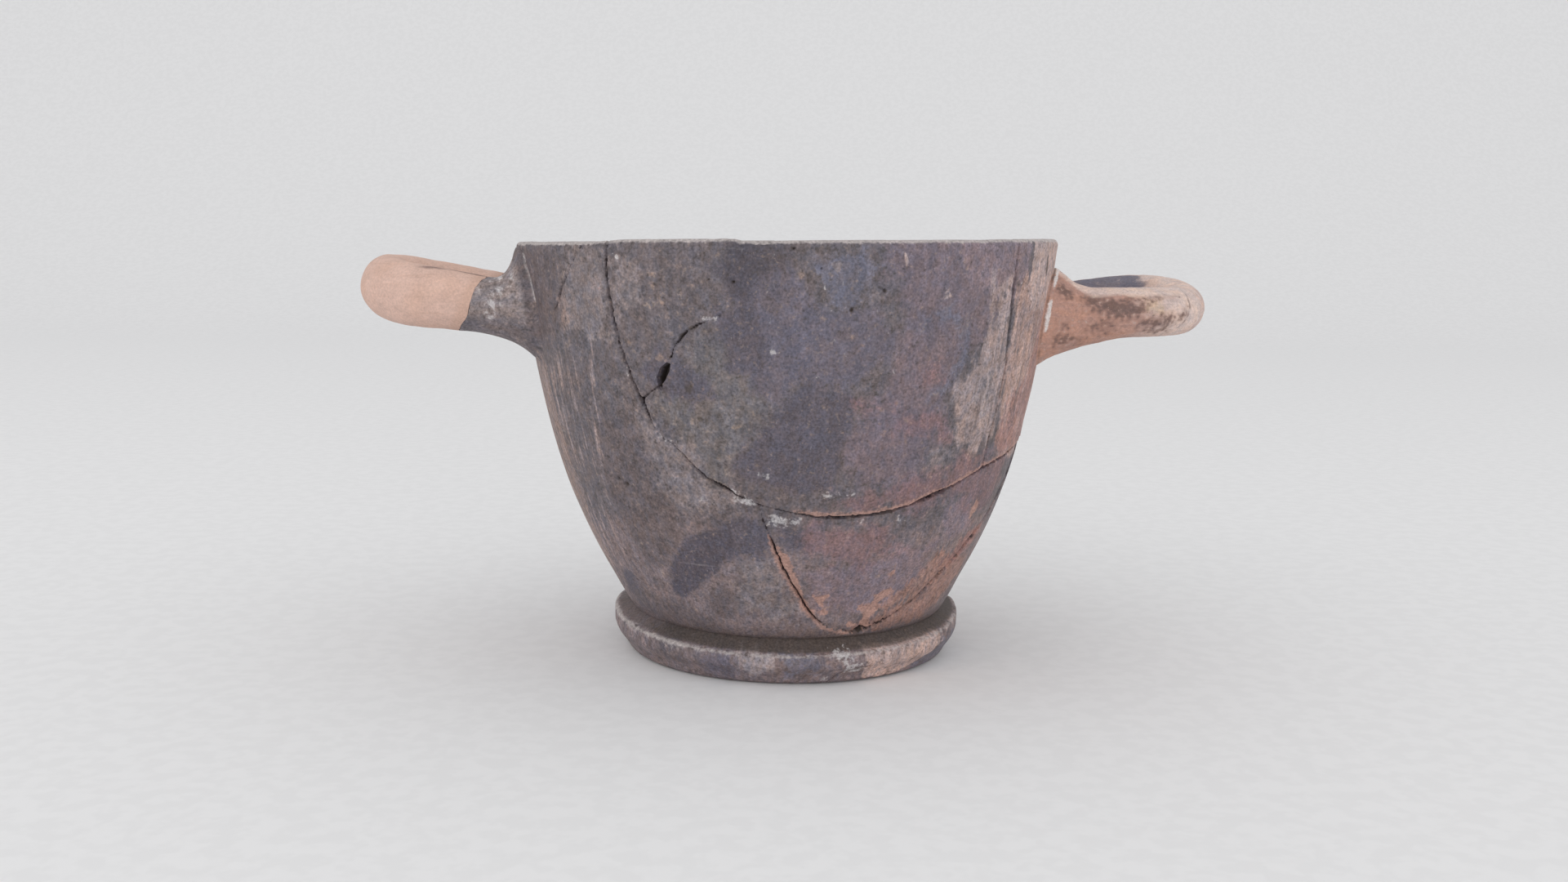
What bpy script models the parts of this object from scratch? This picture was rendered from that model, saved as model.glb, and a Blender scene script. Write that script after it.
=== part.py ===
"""A skyphos: a footed drinking cup with two horizontal loop handles.

The cup was thrown and fired in one piece with its handles. The end of the left handle is a modern
fill and the right handle had broken off and is glued back, so both are pieces of their own.
"""

import math
from dataclasses import dataclass

import bmesh
import bpy
from mathutils import Vector

MM = 0.001

# Bowl
RIM_HEIGHT = 77.6 * MM
RIM_RADIUS = 50.4 * MM
LIP_WALL = 3.6 * MM
LOWER_WALL = 4.8 * MM
LIP_ROUNDING = 1.0 * MM
FLOOR_THICKNESS = 6.2 * MM
FLOOR_FLAT_SHARE = 0.55
FLOOR_BEND_SHARE = 0.7
WALL_SLOPE_AT_FOOT = 0.609
WALL_SLOPE_AT_RIM = 0.124
LOWER_CURVE_SHARE = 0.236
UPPER_CURVE_SHARE = 0.584

# Foot
FOOT_RADIUS = 33.1 * MM
FOOT_WIDEST_HEIGHT = 6.4 * MM
FOOT_TOP_HEIGHT = 9.0 * MM
FOOT_SHOULDER = 1.5 * MM
LEDGE_WIDTH = 3.2 * MM
BASE_RADIUS = 30.2 * MM
BASE_RING_WIDTH = 5.0 * MM
BASE_EDGE = 0.4 * MM
FOOT_BELLY = 0.4 * MM
RECESS_DEPTH = 4.2 * MM
RECESS_SLOPE_RUN = 1.6 * MM

# How far the hand-thrown bowl is out of true
BOWL_OFFSET = 0.1 * MM
RIM_LEAN = -1.0 * MM
RIM_TILT = math.radians(1.24)

# Handles
HALF_SPREAD = 12.8 * MM
STRAIGHT_RUN = 14.0 * MM
ROOT_DEPTH = 9.0 * MM
FLARE_DEPTH = 4.0 * MM

# Joints between the pieces
JOINT_GAP = 0.3 * MM
BREAK_BEYOND_RIM = 7.0 * MM
BREAK_BELOW_RIM = 11.5 * MM
BREAK_LEAN = math.radians(28.8)

# Resolution of the curved shapes
TURN_STEPS = 80
WALL_STEPS = 12
FLOOR_STEPS = 5
EDGE_STEPS = 3
BRANCH_STEPS = 12
BEND_STEPS = 10
SECTION_SIDES = 14

CUTTER_MARGIN = 12.0 * MM


@dataclass
class Handle:
    """Sizes of one handle, with side -1 for left and +1 for right."""

    side: int
    overhang: float
    root_drop: float
    rise: float
    rise_power: float
    rod_width: float
    rod_height_at_root: float
    rod_height_at_end: float
    twist: float
    flare_up: float
    flare_up_length: float
    flare_down: float
    flare_down_length: float
    flare_out: float

    @property
    def reach(self):
        """Distance from the cup's axis to the handle's end."""
        return RIM_RADIUS + self.overhang

    @property
    def root_height(self):
        """Height of the rod's middle where it leaves the wall."""
        return RIM_HEIGHT - self.root_drop


LEFT = Handle(
    side=-1,
    overhang=29.7 * MM,
    root_drop=13.2 * MM,
    rise=3.3 * MM,
    rise_power=1.0,
    rod_width=9.5 * MM,
    rod_height_at_root=8.5 * MM,
    rod_height_at_end=12.1 * MM,
    twist=0.4 * MM,
    flare_up=9.5 * MM,
    flare_up_length=4.2 * MM,
    flare_down=4.3 * MM,
    flare_down_length=3.4 * MM,
    flare_out=1.6 * MM,
)

RIGHT = Handle(
    side=1,
    overhang=28.7 * MM,
    root_drop=13.5 * MM,
    rise=2.5 * MM,
    rise_power=2.0,
    rod_width=9.4 * MM,
    rod_height_at_root=9.2 * MM,
    rod_height_at_end=9.0 * MM,
    twist=1.8 * MM,
    flare_up=4.7 * MM,
    flare_up_length=4.2 * MM,
    flare_down=2.9 * MM,
    flare_down_length=6.5 * MM,
    flare_out=1.6 * MM,
)


def clear_scene():
    for found in list(bpy.data.objects):
        bpy.data.objects.remove(found, do_unlink=True)


def new_collection(name):
    collection = bpy.data.collections.new(name)
    bpy.context.scene.collection.children.link(collection)
    return collection


def fired_material(name, colour, roughness):
    material = bpy.data.materials.new(name)
    material.use_nodes = True
    shader = material.node_tree.nodes["Principled BSDF"]
    shader.inputs["Base Color"].default_value = (*colour, 1.0)
    shader.inputs["Roughness"].default_value = roughness
    shader.inputs["Metallic"].default_value = 0.0
    return material


def add_object(name, mesh, collection):
    new_object = bpy.data.objects.new(name, mesh)
    collection.objects.link(new_object)
    return new_object


def as_cutter(cutter):
    cutter.hide_render = True
    cutter.display_type = "WIRE"
    return cutter


def bezier(start, start_handle, end_handle, end, steps):
    points = []
    for step in range(steps + 1):
        t = step / steps
        s = 1 - t
        weights = (s**3, 3 * s * s * t, 3 * s * t * t, t**3)
        corners = (start, start_handle, end_handle, end)
        radius = sum(weight * corner[0] for weight, corner in zip(weights, corners))
        height = sum(weight * corner[1] for weight, corner in zip(weights, corners))
        points.append((radius, height))
    return points


def arc(centre, radius, first_degrees, last_degrees, steps):
    points = []
    for step in range(steps + 1):
        angle = math.radians(first_degrees + (last_degrees - first_degrees) * step / steps)
        points.append((centre[0] + radius * math.cos(angle), centre[1] + radius * math.sin(angle)))
    return points


def wall_line(inset_low, inset_high):
    """The bowl's wall from the foot up to just under the lip, moved inwards by the two insets."""
    foot_radius = FOOT_RADIUS - LEDGE_WIDTH
    top = RIM_HEIGHT - LIP_ROUNDING
    rise = top - FOOT_TOP_HEIGHT
    low_run = LOWER_CURVE_SHARE * rise
    high_run = UPPER_CURVE_SHARE * rise
    line = bezier(
        (foot_radius, FOOT_TOP_HEIGHT),
        (foot_radius + WALL_SLOPE_AT_FOOT * low_run, FOOT_TOP_HEIGHT + low_run),
        (RIM_RADIUS - WALL_SLOPE_AT_RIM * high_run, top - high_run),
        (RIM_RADIUS, top),
        WALL_STEPS,
    )
    moved = []
    for index, (radius, height) in enumerate(line):
        before = line[max(index - 1, 0)]
        after = line[min(index + 1, WALL_STEPS)]
        along = Vector((after[0] - before[0], after[1] - before[1])).normalized()
        if index == WALL_STEPS:
            along = Vector((0.0, 1.0))
        inset = inset_low + (inset_high - inset_low) * index / WALL_STEPS
        moved.append((radius - inset * along.y, height + inset * along.x))
    return moved


def wall_radius(height):
    """Outer radius of the bowl at a height, read between the points of its wall."""
    line = wall_line(0.0, 0.0)
    for lower, upper in zip(line, line[1:]):
        if lower[1] <= height <= upper[1]:
            share = (height - lower[1]) / (upper[1] - lower[1])
            return lower[0] + share * (upper[0] - lower[0])
    return RIM_RADIUS


def inner_line():
    """Inside of the cup from the middle of its floor up to the lip."""
    floor = RECESS_DEPTH + FLOOR_THICKNESS
    wall = [point for point in wall_line(LOWER_WALL, LIP_WALL) if point[1] > floor + LOWER_WALL]
    first, second = wall[0], wall[1]
    slope = (second[0] - first[0]) / (second[1] - first[1])
    drop = first[1] - floor
    bend = bezier(
        (0.0, floor),
        (first[0] * FLOOR_FLAT_SHARE, floor),
        (first[0] - slope * drop * FLOOR_BEND_SHARE, first[1] - drop * FLOOR_BEND_SHARE),
        first,
        FLOOR_STEPS,
    )
    return bend[:-1] + wall


def lip_line(inner_top, outer_top):
    inner = arc((inner_top[0] + LIP_ROUNDING, inner_top[1]), LIP_ROUNDING, 180, 90, EDGE_STEPS)
    outer = arc((outer_top[0] - LIP_ROUNDING, outer_top[1]), LIP_ROUNDING, 90, 0, EDGE_STEPS)
    return inner[1:] + outer[:-1]


def foot_line():
    """Foot and underside, from the wall's foot down and inwards to the axis."""
    ledge_end = FOOT_RADIUS - FOOT_SHOULDER
    shoulder_rise = FOOT_TOP_HEIGHT - FOOT_WIDEST_HEIGHT
    shoulder = []
    for step in range(EDGE_STEPS + 1):
        angle = math.pi / 2 * (1 - step / EDGE_STEPS)
        radius = ledge_end + FOOT_SHOULDER * math.cos(angle)
        shoulder.append((radius, FOOT_WIDEST_HEIGHT + shoulder_rise * math.sin(angle)))
    waist = (BASE_RADIUS + (FOOT_RADIUS - BASE_RADIUS) / 3 + FOOT_BELLY, FOOT_WIDEST_HEIGHT / 3)
    ring_inside = BASE_RADIUS - BASE_RING_WIDTH
    return shoulder + [
        waist,
        (BASE_RADIUS, BASE_EDGE),
        (BASE_RADIUS - BASE_EDGE, 0.0),
        (ring_inside, 0.0),
        (ring_inside - RECESS_SLOPE_RUN, RECESS_DEPTH),
        (0.0, RECESS_DEPTH),
    ]


def cup_line():
    inner = inner_line()
    outer = wall_line(0.0, 0.0)
    return inner + lip_line(inner[-1], outer[-1]) + outer[::-1] + foot_line()


def core_line(inset):
    """A solid core inside the wall's outer face, or around it where the inset is negative."""
    wall = wall_line(inset, inset)
    top = RIM_HEIGHT + CUTTER_MARGIN
    return [(0.0, top), (wall[-1][0], top)] + wall[::-1] + [(0.0, wall[0][1])]


def lean(position):
    """The bowl stands a little off the foot's middle, leans and has a tilted rim."""
    x, y, z = position
    ledge = (z - FOOT_WIDEST_HEIGHT) / (FOOT_TOP_HEIGHT - FOOT_WIDEST_HEIGHT)
    set_off = BOWL_OFFSET * min(max(ledge, 0.0), 1.0)
    share = max((z - FOOT_TOP_HEIGHT) / (RIM_HEIGHT - FOOT_TOP_HEIGHT), 0.0)
    return Vector((x + set_off + RIM_LEAN * share, y, z + x * math.tan(RIM_TILT) * share))


def mesh_of(source, name):
    """Replace an object that has modifiers by a plain mesh of it."""
    bpy.context.view_layer.update()
    evaluated = source.evaluated_get(bpy.context.evaluated_depsgraph_get())
    mesh = bpy.data.meshes.new_from_object(evaluated)
    mesh.name = name
    bpy.data.objects.remove(source, do_unlink=True)
    return mesh


def turned(name, line, collection):
    """Turn a profile round the Z axis, then lean it as the bowl leans."""
    profile = bpy.data.meshes.new(name)
    edges = [(index, index + 1) for index in range(len(line) - 1)]
    profile.from_pydata([(radius, 0.0, height) for radius, height in line], edges, [])
    blank = add_object(name + "_profile", profile, collection)
    screw = blank.modifiers.new("Turn", "SCREW")
    screw.axis = "Z"
    screw.steps = TURN_STEPS
    screw.render_steps = TURN_STEPS
    screw.use_merge_vertices = True
    screw.merge_threshold = 0.01 * MM
    screw.use_smooth_shade = False
    mesh = mesh_of(blank, name)
    for vertex in mesh.vertices:
        vertex.co = lean(vertex.co)
    work = bmesh.new()
    work.from_mesh(mesh)
    bmesh.ops.recalc_face_normals(work, faces=work.faces)
    work.to_mesh(mesh)
    work.free()
    return add_object(name, mesh, collection)


def wall_distance(handle):
    """Distance from the cup's axis to the wall, along one branch of the handle."""
    return math.sqrt(wall_radius(handle.root_height) ** 2 - HALF_SPREAD**2)


def branch_stations(handle):
    """Places along the front half of the handle: distance out, distance across and direction."""
    wall = wall_distance(handle)
    bend_start = wall + STRAIGHT_RUN
    end = handle.reach - handle.rod_width / 2
    stations = []
    for step in range(BRANCH_STEPS):
        out = wall - ROOT_DEPTH + (ROOT_DEPTH + STRAIGHT_RUN) * step / BRANCH_STEPS
        stations.append((out, -HALF_SPREAD, Vector((1.0, 0.0))))
    for step in range(BEND_STEPS + 1):
        angle = math.pi / 2 * step / BEND_STEPS
        out = bend_start + (end - bend_start) * math.sin(angle)
        across = -HALF_SPREAD * math.cos(angle)
        direction = Vector(((end - bend_start) * math.cos(angle), HALF_SPREAD * math.sin(angle)))
        stations.append((out, across, direction.normalized()))
    return stations


def handle_stations(handle):
    front = branch_stations(handle)
    rear = [(out, -across, Vector((-way.x, way.y))) for out, across, way in reversed(front[:-1])]
    return front + rear


def handle_ring(handle, station):
    """One oval section of the handle, flared where it nears the wall."""
    out, across, way = station
    wall = wall_distance(handle)
    span = handle.reach - handle.rod_width / 2 - wall
    run = max(out - wall, -FLARE_DEPTH)
    share = min(max(run / span, 0.0), 1.0)
    eased = 1 - (1 - share) ** handle.rise_power
    twist = handle.twist * share**2 * across / HALF_SPREAD
    centre = handle.root_height + handle.rise * eased + twist
    rod = handle.rod_height_at_root + (handle.rod_height_at_end - handle.rod_height_at_root) * share
    clear_run = max(run, 0.0)
    up = rod / 2 + handle.flare_up * math.exp(-((clear_run / handle.flare_up_length) ** 2))
    up = min(up, RIM_HEIGHT - 2 * LIP_ROUNDING - centre)
    down = rod / 2 + handle.flare_down * math.exp(-run / handle.flare_down_length)
    half_width = handle.rod_width / 2 + handle.flare_out * math.exp(-clear_run / handle.flare_up_length)
    ring = []
    for side in range(SECTION_SIDES):
        angle = 2 * math.pi * side / SECTION_SIDES
        outwards = half_width * math.cos(angle)
        sine = math.sin(angle)
        height = centre + (up if sine > 0 else down) * sine
        x = handle.side * (out + outwards * way.y)
        y = across - outwards * way.x
        ring.append(Vector((x, y, height)))
    return ring


def handle_solid(name, handle, collection):
    """Loft the sections of a handle into one closed rod with both ends inside the bowl."""
    work = bmesh.new()
    rings = []
    for station in handle_stations(handle):
        rings.append([work.verts.new(position) for position in handle_ring(handle, station)])
    for ring, following in zip(rings, rings[1:]):
        for side in range(SECTION_SIDES):
            after = (side + 1) % SECTION_SIDES
            work.faces.new((ring[side], ring[after], following[after], following[side]))
    work.faces.new(rings[0])
    work.faces.new(rings[-1])
    bmesh.ops.recalc_face_normals(work, faces=work.faces)
    mesh = bpy.data.meshes.new(name)
    work.to_mesh(mesh)
    work.free()
    return add_object(name, mesh, collection)


def break_block(name, side, collection):
    """A block with one leaning face at the left handle's break, on its bowl side or its end side."""
    size = LEFT.reach
    work = bmesh.new()
    bmesh.ops.create_cube(work, size=size)
    mesh = bpy.data.meshes.new(name)
    work.to_mesh(mesh)
    work.free()
    block = add_object(name, mesh, collection)
    facing = Vector((math.cos(BREAK_LEAN), 0.0, -math.sin(BREAK_LEAN)))
    middle = Vector((-RIM_RADIUS - BREAK_BEYOND_RIM, 0.0, RIM_HEIGHT - BREAK_BELOW_RIM))
    block.location = middle + facing * side * (size - JOINT_GAP) / 2
    block.rotation_euler = (0.0, BREAK_LEAN, 0.0)
    return as_cutter(block)


def combine(target, tool, operation):
    modifier = target.modifiers.new(tool.name, "BOOLEAN")
    modifier.operation = operation
    modifier.solver = "EXACT"
    modifier.object = tool


def build():
    clear_scene()
    parts = new_collection("Skyphos")
    cutters = new_collection("Cutters")

    slip = fired_material("WornDarkSlip", (0.150, 0.118, 0.110), 0.62)
    clay = fired_material("FiredClay", (0.420, 0.250, 0.180), 0.75)
    plaster = fired_material("TintedPlaster", (0.700, 0.470, 0.330), 0.85)

    stub_core = as_cutter(turned("core_inside_wall", core_line(LIP_WALL / 2), cutters))
    seat_core = as_cutter(turned("core_round_wall", core_line(-JOINT_GAP), cutters))
    bowl_side = break_block("break_bowl_side", 1, cutters)
    end_side = break_block("break_end_side", -1, cutters)

    stub = as_cutter(handle_solid("left_handle_stub", LEFT, cutters))
    combine(stub, stub_core, "DIFFERENCE")
    combine(stub, end_side, "DIFFERENCE")

    body = turned("skyphos_body", cup_line(), parts)
    combine(body, stub, "UNION")
    body.data.materials.append(slip)

    restoration = handle_solid("left_handle_restoration", LEFT, parts)
    combine(restoration, bowl_side, "DIFFERENCE")
    restoration.data.materials.append(plaster)

    right = handle_solid("right_handle", RIGHT, parts)
    combine(right, seat_core, "DIFFERENCE")
    right.data.materials.append(clay)


build()
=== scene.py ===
"""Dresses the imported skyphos: a worn, mended drinking cup of misfired clay with two loop handles."""

import math

import bmesh
import bpy
import numpy as np
from mathutils import Matrix, Vector, noise


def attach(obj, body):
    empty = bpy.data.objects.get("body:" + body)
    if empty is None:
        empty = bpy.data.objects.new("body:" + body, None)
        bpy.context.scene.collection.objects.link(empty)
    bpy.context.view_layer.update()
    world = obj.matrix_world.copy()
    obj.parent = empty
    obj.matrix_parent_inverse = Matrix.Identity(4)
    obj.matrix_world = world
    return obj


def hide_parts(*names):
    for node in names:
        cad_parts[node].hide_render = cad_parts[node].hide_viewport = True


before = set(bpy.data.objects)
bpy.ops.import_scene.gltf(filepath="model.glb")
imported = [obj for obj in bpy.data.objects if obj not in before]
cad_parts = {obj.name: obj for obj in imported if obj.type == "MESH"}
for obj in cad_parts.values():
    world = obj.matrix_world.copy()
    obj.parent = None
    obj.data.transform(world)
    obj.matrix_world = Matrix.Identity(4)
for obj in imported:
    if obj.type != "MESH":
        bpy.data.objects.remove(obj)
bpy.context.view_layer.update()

bl_info = {
    "name": "Mended skyphos",
    "version": (1, 0, 0),
    "blender": (4, 5, 0),
    "location": "View3D > Sidebar > Skyphos",
    "description": "Builds a worn and mended clay drinking cup and the studio it stands in",
    "category": "Add Mesh",
}

MM = 0.001

# Marks on the wall: degrees round the cup from its front, positive to the right, and millimetres
# above the table. A third number is a width or radius in millimetres.
SEAMS = {
    "long_upper": (
        (-39.2, 77.6, 0.25), (-39.5, 74.2, 0.3), (-39.9, 70.7, 0.32), (-39.4, 67.2, 0.3),
        (-39.1, 64.3, 0.34), (-38.4, 61.1, 0.3), (-37.7, 58.2, 0.28), (-36.7, 55.8, 0.26),
        (-35.9, 53.7, 0.3), (-35, 52, 0.34), (-34.5, 51.2, 0.5), (-33.8, 49.6, 0.4), (-32.7, 47.1, 0.1),
        (-31.4, 45.2, 0.06), (-29.4, 44.5, 0.1), (-26.6, 42.4, 0.16), (-23.9, 40.1, 0.18),
        (-21.1, 38.3, 0.28), (-18.3, 37.2, 0.42), (-15, 35.8, 0.16), (-12.1, 34.9, 0.12),
        (-10, 34.1, 0.14),
    ),
    "long_lower": (
        (-10, 34.1, 0.14), (-6.7, 33.3, 0.12), (-4.4, 33, 0.16), (-2.4, 32.7, 0.14), (0.4, 32.4, 0.22),
        (2.9, 32, 0.3), (6, 31.8, 0.6), (10.3, 31.7, 0.65), (14, 31.9, 0.55), (18.5, 32.2, 0.45),
        (22.2, 32.7, 0.6), (26.1, 33.1, 0.34), (28.4, 33.7, 0.65), (31.7, 34.5, 1), (36.1, 35.2, 0.9),
        (39.4, 36.1, 0.7), (43, 36.9, 0.3), (48.4, 38.2, 0.7), (52.9, 38.8, 0.6), (58, 39.4, 0.8),
        (65.5, 40.3, 0.9), (76, 41, 0.9), (90, 42.5, 0.7), (104, 46, 0.3), (117, 51.5, 0.3),
        (128, 59, 0.3), (136, 68, 0.3), (140, 77.6, 0.3),
    ),
    "right": (
        (47.2, 77.6, 0.2), (47.2, 73.6, 0.28), (47.3, 70.2, 0.36), (47.8, 64.6, 0.4),
        (48.4, 59.9, 0.34), (49.2, 56.3, 0.28), (49.1, 52.8, 0.22), (49, 48.1, 0.2), (48.2, 43.9, 0.22),
        (48.3, 40.2, 0.26), (48.4, 37.6, 0.24),
    ),
    "foot_left": (
        (-10, 33.9, 0.06), (-9.3, 32.1, 0.08), (-8.5, 30.1, 0.15), (-7.6, 28.5, 0.08),
        (-7.1, 27.2, 0.26), (-5.7, 24.6, 0.2), (-4.1, 21.8, 0.26), (-2.4, 19.7, 0.18),
        (-0.5, 17.6, 0.3), (1.3, 15.7, 0.22), (3.5, 13.6, 0.34), (5.6, 12.3, 0.3), (8.5, 11, 0.12),
        (12.5, 9.8, 0.1), (17, 9.3, 0.16), (20.5, 9, 0.6),
    ),
    "foot_right": (
        (76, 41, 0.4), (74.5, 38.5, 0.3), (71, 35, 0.35), (67.5, 32, 0.35), (63.5, 28.5, 0.4),
        (59, 25.6, 0.5), (54.8, 23.4, 0.45), (52.1, 21.2, 0.55), (48.5, 19.5, 0.3), (45.3, 17.5, 0.35),
        (42.6, 15.5, 0.3), (38.9, 13.7, 0.25), (33.5, 12, 0.25), (29, 10.7, 0.3), (25.8, 9.9, 0.35),
        (21.5, 9.3, 0.7),
    ),
    "hole_low": ((-34.5, 51.4, 0.3), (-32.1, 52.6, 0.13), (-30.5, 53.5, 0.18), (-29.5, 54.1, 0.4)),
    "hole_high": (
        (-27, 58, 0.3), (-26.2, 59.6, 0.14), (-25.4, 60.7, 0.13), (-24.4, 61.8, 0.3),
        (-23.3, 62.6, 0.34), (-22.6, 63.3, 0.12), (-20.7, 64, 0.26), (-19.2, 64.5, 0.04),
        (-17.3, 65.2, 0.04), (-16.1, 65.6, 0.16),
    ),
    "left_short": (
        (-46.2, 77.6, 0.08), (-49.2, 73.9, 0.1), (-53.6, 70, 0.2), (-55.1, 68.3, 0.4),
        (-55.7, 67.4, 0.2), (-59.7, 64.5, 0.08),
    ),
    "foot_face": (
        (26.5, 3.4, 0.05), (20.6, 3, 0.22), (16.4, 2.9, 0.18), (13.6, 2.1, 0.25), (11.2, 1, 0.3),
        (9.5, 0.2, 0.3),
    ),
    "back_down": (
        (128, 59, 0.3), (139, 52, 0.28), (150, 43, 0.3), (156, 33, 0.25), (166, 22, 0.3),
        (172, 13, 0.3), (176, 9.3, 0.35),
    ),
    "back_up": (
        (-146, 77.6, 0.25), (-144, 66, 0.3), (-150, 56, 0.25), (-162, 48, 0.3), (-178, 41, 0.26),
        (-190, 35, 0.28), (-204, 33, 0.28),
    ),
}
HOLE = (
    (-30.1, 53.9), (-30.3, 55.3), (-29.3, 56.9), (-27.7, 57.9), (-26.8, 57.6), (-27.2, 56.3),
    (-28.3, 54.8), (-29.5, 53.8),
)
PITS = (
    (8.6, 66.5, 0.45), (14.8, 69.5, 0.4), (2.9, 73.1, 0.3), (-13.4, 70.9, 0.4), (-16.1, 65.6, 0.3),
    (-46, 36.7, 0.45), (-2.3, 76.2, 0.35), (24.3, 53.8, 0.25), (60.3, 62.9, 0.25), (-54.7, 16.5, 0.4),
    (-34.4, 51.4, 0.55), (-43.6, 35.9, 0.5), (-17.9, 71.4, 0.3), (64.3, 75.1, 0.3), (21, 9.2, 1.1),
    (120, 63, 0.5), (163, 58, 0.6), (-118, 44, 0.5), (-96, 25, 0.5),
)
TAN_SPOTS = (
    (-29.1, 58.6, 0.7), (-36, 61.1, 0.8), (-41, 62.6, 0.8), (-54.8, 60, 0.9), (-27.4, 47.8, 0.7),
    (-5.9, 70.5, 0.9), (5.6, 73.6, 1.1), (-1, 72.2, 0.8), (-20, 58, 0.6), (9, 62, 0.6), (-46, 52, 0.7),
    (-31, 66.5, 0.8), (-24, 70, 0.7), (22, 48, 0.6), (-14, 47.5, 0.8),
)
LIME_SPOTS = (
    (-5.9, 59.7, 0.7), (-4.8, 58.9, 0.4), (-7, 69.5, 0.35), (-6.9, 64.6, 0.4), (3.3, 70.1, 0.35),
    (2.7, 68.4, 0.25), (2, 66, 0.25), (4.7, 66.5, 0.35), (8.5, 59.5, 0.4), (18.4, 56.4, 0.25),
    (50.3, 70.2, 0.4), (-32.4, 41.5, 0.3), (-8.9, 39.4, 0.65), (-7.9, 38.9, 0.45), (-8.4, 40.3, 0.3),
    (-38.6, 56, 0.45), (-37.4, 55.8, 0.35), (2.3, 55.8, 0.25), (5.5, 61.9, 0.2), (-5.5, 75.5, 0.25),
    (23.7, 41.9, 0.4), (24.9, 41.1, 0.3), (65.5, 22.2, 0.3), (-29.7, 32.6, 0.25), (-22.9, 34.6, 0.3),
    (-20.3, 29.4, 0.25), (-36.7, 74.8, 0.6), (-37.7, 75.6, 0.4), (19, 72.2, 0.25), (18.4, 74.1, 0.35),
    (140, 40, 0.5), (-130, 62, 0.4), (172, 66, 0.4),
)

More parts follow.
